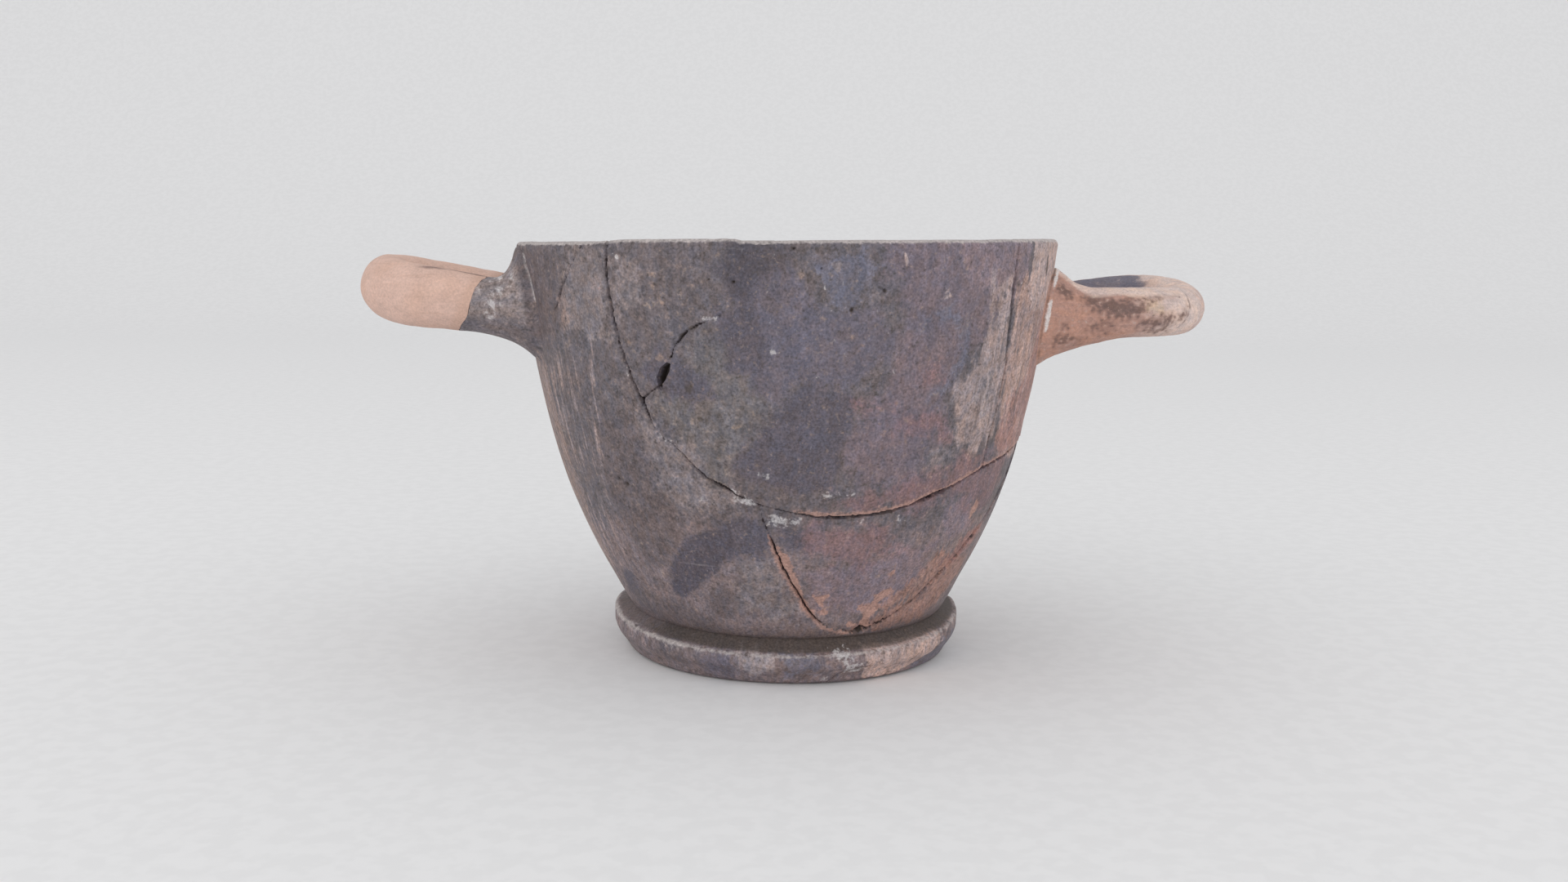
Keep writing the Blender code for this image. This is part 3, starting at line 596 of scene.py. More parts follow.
def wall_line(cup, inset_low, inset_high, steps):
    """The bowl's wall from the foot up to just under the lip, moved inwards by the two insets."""
    foot = (WALL_FOOT, cup.foot_top / MM)
    top = (cup.rim_radius / MM, (cup.rim_height - cup.lip_rounding) / MM)
    low, high = (share * (top[1] - foot[1]) for share in (WALL_LOW[0], WALL_HIGH[0]))
    after_foot = (foot[0] + WALL_LOW[1] * low, foot[1] + low)
    before_top = (top[0] - WALL_HIGH[1] * high, top[1] - high)
    line = bezier((foot, after_foot, before_top, top), steps)
    moved = []
    for index, (radius, height) in enumerate(line):
        before, after = line[max(index - 1, 0)], line[min(index + 1, steps)]
        along = Vector((after[0] - before[0], after[1] - before[1])).normalized()
        if index == steps:
            along = Vector((0.0, 1.0))
        inset = inset_low + (inset_high - inset_low) * index / steps
        moved.append((radius - inset * along.y, height + inset * along.x))
    return moved


def inner_line(cup):
    """The inside, from the middle of the floor round its bend and up the wall to the lip."""
    floor = cup.floor_height / MM
    wall = wall_line(cup, cup.lower_wall / MM, cup.lip_wall / MM, INNER_STEPS)
    wall = [place for place in wall if place[1] > floor + 4.8]
    radius, height = wall[0]
    slope = (wall[1][0] - radius) / (wall[1][1] - height)
    drop = height - floor
    below = (radius - slope * drop * 0.7, height - drop * 0.7)
    return bezier(((0.0, floor), (radius * 0.55, floor), below, wall[0]), 16)[:-1] + wall


def foot_line(cup, start):
    """The foot's ledge, edge, standing ring and recess, from the wall's foot to the axis."""
    belly, widest = cup.foot_belly_height / MM, cup.foot_radius / MM
    top, base, roof = cup.foot_top / MM, cup.base_radius / MM, cup.recess_depth / MM
    corner = (widest - LEDGE_CORNER, top - LEDGE_SLOPE - LEDGE_CORNER)
    ring_outside, ring_inside, recess = base - 0.8, base - 4.5, base - 6.1
    face = bezier(((widest, belly), (widest, belly - 2.2), (base + 1.5, 2.2), (base + 0.9, 0.9)), 9)
    return [
        *straight(start, (corner[0], top - LEDGE_SLOPE), 6)[1:],
        *arc(corner, LEDGE_CORNER, 80, 0, 4),
        *face[1:],
        *((base + 0.55, 0.5), (base, 0.22), (base - 0.4, 0.08), (ring_outside, 0.0)),
        *straight((ring_outside, 0.0), (ring_inside, 0.0), 5)[1:],
        *straight((ring_inside, 0.0), (recess, roof), 5),
        *straight((recess, roof), (0.0, roof), 8),
        (0.0, roof),
    ]


def cup_profile(cup):
    """Outline of the cup's section, from the middle of its floor over the lip to its underside."""
    lip = cup.lip_rounding / MM
    inner, outer = inner_line(cup), wall_line(cup, 0.0, 0.0, WALL_STEPS)
    over_inside = arc((inner[-1][0] + lip, inner[-1][1]), lip, 180, 90, 4)
    over_outside = arc((outer[-1][0] - lip, outer[-1][1]), lip, 90, 0, 4)
    return inner + over_inside[1:] + over_outside[1:-1] + outer[::-1] + foot_line(cup, outer[0])


def wall_table(cup):
    """Heights, outer radii and running lengths of the wall and the foot, for looking up."""
    wall = wall_line(cup, 0.0, 0.0, TABLE_STEPS)
    belly, widest, base = cup.foot_belly_height / MM, cup.foot_radius / MM, cup.base_radius / MM
    foot = [(base, 0.0), (base + 1.4, 2.1), (widest, belly), (widest - 0.8, wall[0][1] - 0.3)]
    points = np.array(foot + wall)
    steps = np.hypot(np.diff(points[:, 0]), np.diff(points[:, 1]))
    return points[:, 1], points[:, 0], np.concatenate(([0.0], np.cumsum(steps)))


def lean(points):
    """Sets the bowl a little off the foot's middle, leans it and tilts its rim."""
    x, y, z = points.T
    ledge = np.clip((z - BELLY_HEIGHT) / LEDGE_RISE, 0, 1)
    share = np.clip((z - LEDGE_HEIGHT) / BOWL_RISE, 0, None)
    shift = bpy.context.scene.skyphos.cup.base_shift / MM * np.clip(1 - z / BELLY_HEIGHT, 0, 1)
    across = x + shift + BOWL_OFFSET * ledge + RIM_LEAN * share
    return np.stack((across, y, z + x * math.tan(RIM_TILT) * share), axis=1)


def unlean(points):
    """The place in the true turned bowl that lean() would move to these points."""
    guess = points.copy()
    for _ in range(6):
        guess += points - lean(guess)
    return guess


def dip_foot(points, wall, dip):
    """Lowers the front of the foot's edge, and a third as much the corner between foot and bowl."""
    x, y, z = points.T
    radii = np.hypot(x, y)
    front = np.clip(-y / np.maximum(radii, 1.0), 0, 1) ** 0.8
    edge = 0.35 + 0.65 * np.clip((radii - WALL_FOOT) / 2.6, 0, 1)
    rising = np.clip((z - 2.0) / 5.0, 0, 1)
    fading = 1 - smooth_step(z, LEDGE_HEIGHT, 16.0)
    outside = np.clip((radii - wall.radius(z) + 3.0) / 1.5, 0, 1)
    points[:, 2] -= dip * front * edge * rising * fading * outside


# ---------------------------------------------------------------- working by hand


def deselect_everything():
    if bpy.context.object and bpy.context.object.mode != "OBJECT":
        bpy.ops.object.mode_set(mode="OBJECT")
    bpy.ops.object.select_all(action="DESELECT")


def take_up(piece):
    """Makes one object the selected and active one."""
    deselect_everything()
    piece.select_set(True)
    bpy.context.view_layer.objects.active = piece


def turn_on_wheel(name, profile):
    """Draws the profile by extruding a point, then spins it round the Z axis into a closed shell."""
    deselect_everything()
    bpy.ops.mesh.primitive_plane_add(size=MM)
    piece = bpy.context.object
    piece.name = piece.data.name = name
    bpy.context.tool_settings.mesh_select_mode = (True, False, False)
    bpy.ops.object.mode_set(mode="EDIT")
    bpy.ops.mesh.select_all(action="SELECT")
    bpy.ops.mesh.merge(type="CENTER")
    at = Vector((0.0, *profile[0])) * MM
    bpy.ops.transform.translate(value=at)
    for place in profile[1:]:
        following = Vector((0.0, *place)) * MM
        bpy.ops.mesh.extrude_region_move(TRANSFORM_OT_translate={"value": following - at})
        at = following
    bpy.ops.mesh.select_all(action="SELECT")
    bpy.ops.mesh.spin(
        steps=ANGLES_ROUND, angle=2 * math.pi, use_auto_merge=True, center=(0, 0, 0), axis=(0, 0, 1)
    )
    bpy.ops.mesh.select_all(action="SELECT")
    bpy.ops.mesh.remove_doubles(threshold=0.002 * MM)
    bpy.ops.mesh.normals_make_consistent(inside=False)
    bpy.ops.object.mode_set(mode="OBJECT")
    return piece


def pull_through(name, rings):
    """Starts from a filled ring, extrudes it once for each station and lays every new ring in place."""
    deselect_everything()
    bpy.ops.mesh.primitive_circle_add(vertices=len(rings[0]), radius=MM, fill_type="NGON")
    piece = bpy.context.object
    piece.name = piece.data.name = name
    for vertex, place in zip(piece.data.vertices, rings[0]):
        vertex.co = Vector(place) * MM
    bpy.context.tool_settings.mesh_select_mode = (False, False, True)
    bpy.ops.object.mode_set(mode="EDIT")
    bpy.ops.mesh.select_all(action="SELECT")
    for last, ring in zip(rings, rings[1:]):
        bpy.ops.mesh.extrude_region_move()
        work = bmesh.from_edit_mesh(piece.data)
        last_places = np.array(last)
        for vertex in [v for v in work.verts if v.select]:
            index = int(np.argmin(((last_places - np.array(vertex.co) / MM) ** 2).sum(axis=1)))
            vertex.co = Vector(ring[index]) * MM
        bmesh.update_edit_mesh(piece.data)
    bpy.ops.mesh.select_all(action="SELECT")
    bpy.ops.mesh.normals_make_consistent(inside=False)
    bpy.ops.object.mode_set(mode="OBJECT")
    return piece


def read_vectors(items, name):
    """One vector of every vertex or face, as rows."""
    flat = np.empty(len(items) * 3)
    items.foreach_get(name, flat)
    return flat.reshape(-1, 3)


def read_points(piece):
    """The vertices' places in millimetres."""
    return read_vectors(piece.data.vertices, "co") / MM


def write_points(piece, points):
    piece.data.vertices.foreach_set("co", (points * MM).ravel())
    piece.data.update()


def write_attribute(piece, name, values):
    layer = piece.data.attributes.new(name, "FLOAT", "POINT")
    layer.data.foreach_set("value", np.ascontiguousarray(values, dtype=np.float32))


def write_unrolled(piece, angles, lengths):
    """Stores each point's place on an even drum, in metres, for streaks that run down the wall."""
    turn = np.radians(angles)
    drum = np.stack((np.sin(turn) * DRUM_RADIUS, -np.cos(turn) * DRUM_RADIUS, lengths), axis=1) * MM
    layer = piece.data.attributes.new("unrolled", "FLOAT_VECTOR", "POINT")
    layer.data.foreach_set("vector", np.ascontiguousarray(drum, dtype=np.float32).ravel())


def apply_boolean(piece, tool, operation):
    take_up(piece)
    modifier = piece.modifiers.new(operation, "BOOLEAN")
    modifier.operation = operation
    modifier.solver = "EXACT"
    modifier.object = tool
    bpy.ops.object.modifier_apply(modifier=modifier.name)
    bpy.data.objects.remove(tool, do_unlink=True)


def subdivide_faces(piece, chosen):
    """Selects only the chosen faces and divides them in edit mode."""
    take_up(piece)
    mesh = piece.data
    mesh.vertices.foreach_set("select", np.zeros(len(mesh.vertices), dtype=bool))
    mesh.edges.foreach_set("select", np.zeros(len(mesh.edges), dtype=bool))
    mesh.polygons.foreach_set("select", chosen)
    bpy.context.tool_settings.mesh_select_mode = (False, False, True)
    bpy.ops.object.mode_set(mode="EDIT")
    bpy.ops.mesh.subdivide(number_cuts=1)
    bpy.ops.object.mode_set(mode="OBJECT")


def smooth_step(values, low, high):
    share = np.clip((values - low) / (high - low), 0, 1)
    return share * share * (3 - 2 * share)


def edge_mask(distance, reach):
    """A mask that fades in from this far outside an edge to as far inside it."""
    return np.clip(0.5 + distance / (2 * reach), 0, 1)


def bell(values, middle, width):
    """1 at the middle, fading out on both sides of it."""
    return np.exp(-(((values - middle) / width) ** 2))


def fractal(points, size, seed, octaves=3):
    """Smooth noise of about -1 to 1 at each point, its largest bumps about size millimetres apart."""
    offset = Vector((seed * 17.3, seed * 5.1, seed * 9.7))
    values = [noise.fractal(Vector(p) / size + offset, 0.7, 2.1, octaves) for p in points.tolist()]
    return np.array(values)


def line_distance(x, y, line):
    """Distance of each place to an open line in a plane."""
    nearest = np.full(len(x), FAR)
    for (x0, y0), (x1, y1) in zip(line, line[1:]):
        run, rise = x1 - x0, y1 - y0
        along = ((x - x0) * run + (y - y0) * rise) / (run * run + rise * rise + 1e-9)
        along = np.clip(along, 0, 1)
        nearest = np.minimum(nearest, np.hypot(x - x0 - along * run, y - y0 - along * rise))
    return nearest


def outline_distance(x, y, corners):
    """Distance of each place to a closed outline in a plane, positive inside it."""
    closed = (*corners, corners[0])
    inside = np.zeros(len(x), dtype=bool)
    for (x0, y0), (x1, y1) in zip(closed, closed[1:]):
        if y1 - y0:
            inside ^= ((y0 > y) != (y1 > y)) & (x < x0 + (y - y0) / (y1 - y0) * (x1 - x0))
    nearest = line_distance(x, y, closed)
    return np.where(inside, nearest, -nearest)


def patches_distance(x, y, outlines):
    return np.max([outline_distance(x, y, outline) for outline in outlines], axis=0)


# ---------------------------------------------------------------- marks on the wall


def turn_from(angles, start):
    """How far round the cup each angle is from another one, from -180 to 180 degrees."""
    return (angles - start + 180) % 360 - 180


class Wall:
    """The cup's outside, unrolled: angle and running length of any point, and distances on it."""

    def __init__(self, cup):
        self.heights, self.radii, self.lengths = wall_table(cup)

    def radius(self, heights):
        return np.interp(heights, self.heights, self.radii)

    def unroll(self, points):
        angles = np.degrees(np.arctan2(points[:, 0], -points[:, 1]))
        return angles, np.interp(points[:, 2], self.heights, self.lengths)

    def to_segment(self, angles, lengths, start, end):
        """Distance to a segment, how far along it the nearest point is, and which side this is."""
        radius = self.radius((start[1] + end[1]) / 2)
        low, high = np.interp((start[1], end[1]), self.heights, self.lengths)
        across = np.radians(turn_from(angles, start[0])) * radius
        up = lengths - low
        run = math.radians(end[0] - start[0]) * radius
        rise = high - low
        along = np.clip((across * run + up * rise) / (run * run + rise * rise + 1e-9), 0, 1)
        side = np.sign(across * rise - up * run)
        return np.hypot(across - along * run, up - along * rise), along, side

    def seam(self, angles, lengths, line):
        """Distance to a seam's middle, its width there and the side that each place is on."""
        nearest = np.full(len(angles), FAR)
        width = np.zeros(len(angles))
        sides = np.ones(len(angles))
        for start, end in zip(line, line[1:]):
            distance, along, side = self.to_segment(angles, lengths, start, end)
            closer = distance < nearest
            nearest = np.where(closer, distance, nearest)
            width = np.where(closer, start[2] + (end[2] - start[2]) * along, width)
            sides = np.where(closer, side, sides)
        return nearest, width, sides

    def length_at(self, height):
        """Running length at a height, carried on beyond the lip so that patches don't fade there."""
        beyond = max(height - self.heights[-1], 0.0)
        return float(np.interp(height, self.heights, self.lengths)) + beyond

    def patch(self, angles, lengths, outline):
        """Distance to a patch's outline, positive inside it."""
        middle = sum(point[0] for point in outline) / len(outline)
        radii = np.interp(lengths, self.lengths, self.radii)
        corners = [
            (math.radians(angle - middle) * float(self.radius(height)), self.length_at(height))
            for angle, height in outline
        ]
        return outline_distance(np.radians(turn_from(angles, middle)) * radii, lengths, corners)

    def spots(self, angles, lengths, spots):
        """Distance to the nearest spot's edge, positive inside it."""
        best = np.full(len(angles), -FAR)
        for angle, height, radius in spots:
            distance = self.to_segment(angles, lengths, (angle, height), (angle, height))[0]
            best = np.maximum(best, radius - distance)
        return best

    def patches(self, angles, lengths, kind):
        """Distance to the patches of one kind, positive inside them."""
        best = np.max([self.patch(angles, lengths, outline) for outline in PATCHES[kind]], axis=0)
        if kind == "lime":
            best = np.maximum(best, self.spots(angles, lengths, LIME_SPOTS))
        return best


def refine_marks(piece, wall, reach):
    """Subdivides the faces that lie near a seam, a pit or a sharp patch's edge."""
    centres = read_vectors(piece.data.polygons, "center") / MM
    angles, lengths = wall.unroll(centres)
    outside = np.hypot(centres[:, 0], centres[:, 1]) > wall.radius(centres[:, 2]) - 1.0
    near = wall.spots(angles, lengths, PITS) > -reach / 2
    near |= wall.spots(angles, lengths, LIME_SPOTS) > -reach / 3
    near |= np.abs(wall.patch(angles, lengths, HOLE)) < reach / 2
    for line in SEAMS.values():
        distance, width, _ = wall.seam(angles, lengths, line)
        near |= distance - width / 2 < reach
    for kind in SHARP_PATCHES:
        near |= np.abs(wall.patches(angles, lengths, kind)) < reach / 3
    subdivide_faces(piece, near & outside)


def foot_masks(heights, radii):
    """Where soil and painted shade darken the foot's ledge and the foot of the wall above it, and where
    its edge is rubbed and painted lighter as a highlight, in the turned section.
    """
    at_wall = 1 - smooth_step(heights, LEDGE_HEIGHT, 10.6)
    up_wall = 0.55 * (1 - smooth_step(heights, 9.4, 15.0))
    on_ledge = 1 - smooth_step(radii, 31.8, 32.7)
    dirt = np.where(heights < 9.05, on_ledge, np.maximum(at_wall, up_wall))
    dirt = dirt * (heights > 7.9) * (heights < 16.0) * (radii > 28.5)
    return dirt, bell(np.hypot(radii - 32.85, heights - 8.15), 0.0, 0.6)


def work_seams(wall, skin, angles, shaken, moved):
    """Cuts the seams and sets the sherds' steps in moved. Returns the distance to the gaps' edges
    and where clay lies bare beside the seams."""
    gap = np.full(len(angles), CLEAR)
    band = np.zeros(len(angles))
    for name, line in SEAMS.items():
        distance, width, side = wall.seam(*shaken, line)
        gap = np.minimum(gap, distance - width / 2)
        depth = np.clip(0.2 + 2.2 * width, 0.0, 1.5) * np.clip(width / 0.2, 0.15, 1)
        moved -= skin * depth * (1 - smooth_step(distance, width * 0.3, width * 0.5 + 0.12))
        part = 1.0
        if name == "long_lower":
            part = smooth_step(angles, -6, 4) * (1 - smooth_step(angles, 70, 85))
            band = np.maximum(band, part * (side < 0) * np.clip(1.5 - distance, 0, 1))
        if name == "foot_left":
            near = np.clip(1.0 - distance / 1.4, 0, 1)
            band = np.maximum(band, (angles > -8.0) * (side > 0) * near)
        if name in SHERD_STEPS:
            left, right, fading = SHERD_STEPS[name]
            moved += skin * part * np.where(side < 0, left, right) * np.exp(-distance / fading)
    return gap, band


def mark_cup(piece, wall, cup):
    """Works the seams, steps, chips and pits into the surface and writes the masks that colour it."""
    points = read_points(piece)
    normals = read_vectors(piece.data.vertices, "normal")
    heights = points[:, 2].copy()
    radii = np.hypot(points[:, 0], points[:, 1])
    wall_radius = wall.radius(heights)
    dirt, foot_edge = foot_masks(heights, radii)
    lip = smooth_step(heights, 75.2, 77.2)
    inside = (radii < wall_radius - 1.6) & ((heights > 9.5) | (radii < 28.0))
    foot = (heights < 9.6) & (heights > 0.1) & (radii > 28.5)
    on_wall = (np.abs(radii - wall_radius) < SKIN) | foot
    stub = (radii > wall_radius + SKIN) & (heights > 40.0)
    skin = on_wall.astype(float)
    dip_foot(points, wall, cup.foot_dip / MM)

    jitter = np.stack([fractal(points, 2.2, seed, 3) for seed in (1, 2)], axis=1) * 0.2
    angles, lengths = wall.unroll(points)
    write_unrolled(piece, angles, lengths)
    shaken_angles = angles + np.degrees(jitter[:, 0] / np.maximum(wall_radius, 1))
    shaken = shaken_angles, lengths + jitter[:, 1]
    moved = 0.10 * fractal(points, 26.0, 3, 2) + 0.03 * fractal(points, 6.0, 4, 2)
    gap, band = work_seams(wall, skin, angles, shaken, moved)
    masks = {"gap": np.where(on_wall, gap, CLEAR)}
    for kind, reach in REACHES.items():
        distance = wall.patches(*shaken, kind)
        if kind in SHARP_PATCHES:
            distance = np.where(on_wall, distance, -CLEAR)
        masks[kind] = edge_mask(distance, reach) * np.where(inside, 0.3, 1)
        if kind == "bare":
            moved -= skin * BARE_DEPTH * smooth_step(distance, -0.1, 0.6)
        if kind == "lime":
            moved += skin * LIME_HEIGHT * smooth_step(distance, -0.1, 0.4)
    pits = wall.spots(*shaken, PITS)
    moved -= skin * PIT_DEPTH * smooth_step(pits, -0.15, 0.45)
    in_wall = (radii < wall_radius - 0.3) & (radii > wall_radius - 3.4)
    hole = in_wall & (wall.patch(angles, lengths, HOLE) > -0.25)
    # Pits and the inside of the hole are coloured dark: soil, and painted shade in those hollows
    masks["pit"] = np.where(hole, 1.0, np.where(on_wall, edge_mask(pits, 0.6), 0.0))

    moved -= lip * LIP_CHIPS * smooth_step(fractal(points, 3.2, 5, 3), 0.25, 0.8)
    raised = smooth_step(angles, -44, -36) * (1 - smooth_step(angles, -12.9, -12.2))
    stepped = LIP_RAISED * raised - LIP_SUNK * (1 - raised)
    points[:, 2] += lip * stepped * (np.abs(angles) < 80)
    moved -= foot_edge * FOOT_CHIPS * smooth_step(fractal(points, 3.4, 6, 3), 0.1, 0.8)
    points += normals * moved[:, None]
    points[:, 2] = np.maximum(points[:, 2], 0.0)
    write_points(piece, points)

    across, _, up = lean(points).T
    front = points[:, 1] < -8.0
    chalk = edge_mask(patches_distance(across, up, STUB_CHALK), 1.5)
    glue = edge_mask(0.3 - line_distance(across, up, ROOT_GLUE), 0.5)
    # The stub's lower part is coloured a darker brown, most towards its bottom
    masks["under"] = stub * (1 - smooth_step(up, 60.5, 66.0))
    masks["chalk"] = np.where(stub & front, chalk, 0.0)
    masks["glue"] = np.where(front & (across < -44.0), glue, 0.0)
    # Lip's top and foot's edge are painted lighter: rubbed wear, and a painted highlight, stronger on
    # the foot's left
    left_foot = 1 - smooth_step(angles, -48, -22)
    lip_edge = smooth_step(heights, 76.6, 77.45)
    masks["wear"] = np.clip(np.maximum(foot_edge * (0.7 + 0.3 * left_foot), lip_edge), 0, 1)
    masks["lower"] = edge_mask(LOWER_ZONE - heights, LOWER_REACH)
    coarse = np.max([masks[kind] for kind in COARSE_SLIP], axis=0)
    masks["smooth"] = np.max([masks[kind] for kind in SMOOTH_SLIP], axis=0) * (1 - coarse)
    masks["band"] = band * on_wall
    masks["tan"] = edge_mask(wall.spots(*shaken, TAN_SPOTS), 0.8) * on_wall
    # The stub's root, where it meets the wall, is darkened too: soil, and painted shade in that corner
    root = stub * (1 - smooth_step(radii, wall_radius + 0.7, wall_radius + 1.4)) * 0.4
    masks["dirt"] = np.clip(dirt * (0.6 + 0.4 * smooth_step(angles, -62, -35)) + root, 0, 1)
    masks["inside"] = inside.astype(float)
    masks["stub"] = stub * smooth_step(radii, wall_radius + 0.6, wall_radius + 3.0)
    for name, values in masks.items():
        write_attribute(piece, name, values)


# ---------------------------------------------------------------- materials


def add_node(tree, kind, inputs=(), **settings):
    """Adds a node, sets its properties and fills its inputs with values or other nodes' outputs."""
    made = tree.nodes.new(kind)
    for name, value in settings.items():
        setattr(made, name, value)
    for socket, value in dict(inputs).items():
        if isinstance(value, bpy.types.NodeSocket):
            tree.links.new(value, made.inputs[socket])
        else:
            made.inputs[socket].default_value = value
    return made


class Coats:
    """A material whose colour is laid on in coats, over noises and over the mesh's own masks."""

    def __init__(self, name, roughness, ior, colours, first):
        self.material = bpy.data.materials.new(name)
        self.material.use_nodes = True
        self.tree = self.material.node_tree
        self.tree.nodes.clear()
        self.shader = add_node(
            self.tree, "ShaderNodeBsdfPrincipled", {"Roughness": roughness, "IOR": ior}
        )
        add_node(self.tree, "ShaderNodeOutputMaterial", {"Surface": self.shader.outputs["BSDF"]})
        self.place = add_node(self.tree, "ShaderNodeTexCoord").outputs["Object"]
        self.colours, self.shade = colours, tuple(getattr(colours, first))

    def attribute(self, name, output="Fac"):
        return add_node(self.tree, "ShaderNodeAttribute", attribute_name=name).outputs[output]

    def pattern(self, size, detail, stretch=(1, 1, 1), place=None):
        """Noise with features of this many millimetres, longer along an axis stretched above 1."""
        shares = tuple(1 / share for share in stretch)
        scaled = add_node(
            self.tree, "ShaderNodeMapping", {"Vector": place or self.place, "Scale": shares}
        ).outputs["Vector"]
        inputs = {"Vector": scaled, "Scale": 1 / (size * MM), "Detail": detail, "Roughness": 0.6}
        return add_node(self.tree, "ShaderNodeTexNoise", inputs).outputs["Fac"]

    def ragged(self, mask, *noises):
        """A mask, or the mesh's mask of that name, made ragged by noises with their strengths."""
        mask = self.attribute(mask) if isinstance(mask, str) else mask
        for pattern, strength in noises:
            centred = add_node(self.tree, "ShaderNodeMath", {0: pattern, 1: 0.5}, operation="SUBTRACT")
            inputs = {0: centred.outputs[0], 1: strength, 2: mask}
            mask = add_node(self.tree, "ShaderNodeMath", inputs, operation="MULTIPLY_ADD").outputs[0]
        return mask

    def between(self, under, over, mask, low, high, amount):
        """One colour over another where a mask rises from low to high."""
        inputs = {"Value": mask, "From Min": low, "From Max": high, "To Min": 0.0, "To Max": amount}
        step = add_node(self.tree, "ShaderNodeMapRange", inputs, interpolation_type="SMOOTHSTEP")
        inputs = {0: step.outputs["Result"], 6: under, 7: over}
        return add_node(self.tree, "ShaderNodeMix", inputs, data_type="RGBA").outputs[2]

    def cover(self, tone, mask, low, high, amount=1.0, *noises):
        """Lays on a colour, by its name or as it is, where a mask rises from low to high."""
        over = tuple(getattr(self.colours, tone)) if isinstance(tone, str) else tone
        self.shade = self.between(self.shade, over, self.ragged(mask, *noises), low, high, amount)

    def multiply(self, factor):
        inputs = {0: self.shade, 1: factor}
        made = add_node(self.tree, "ShaderNodeVectorMath", inputs, operation="MULTIPLY")
        self.shade = made.outputs[0]

    def vary(self, *noises):
        """Makes the colour lighter and darker with each noise, by the share given with it."""
        for pattern, spread in noises:
            inputs = {"Value": pattern, "From Min": 0.3, "From Max": 0.7}
            inputs |= {"To Min": 1 - spread, "To Max": 1 + spread}
            self.multiply(add_node(self.tree, "ShaderNodeMapRange", inputs).outputs["Result"])

    def tint(self, pattern, cool, warm):
        """Makes the colour cooler or warmer, as a noise says."""
        self.multiply(self.between((*cool, 1.0), (*warm, 1.0), pattern, 0.35, 0.65, 1.0))

    def finished(self, *heights):
        """The material, with bumps from noises of so many millimetres' depth."""
        self.tree.links.new(self.shade, self.shader.inputs["Base Color"])
        normal = {}
        for pattern, depth in heights:
            inputs = {"Height": pattern, "Distance": depth * MM, "Strength": 1.0, **normal}
            normal = {"Normal": add_node(self.tree, "ShaderNodeBump", inputs).outputs["Normal"]}
        for name, socket in normal.items():
            self.tree.links.new(socket, self.shader.inputs[name])
        return self.material


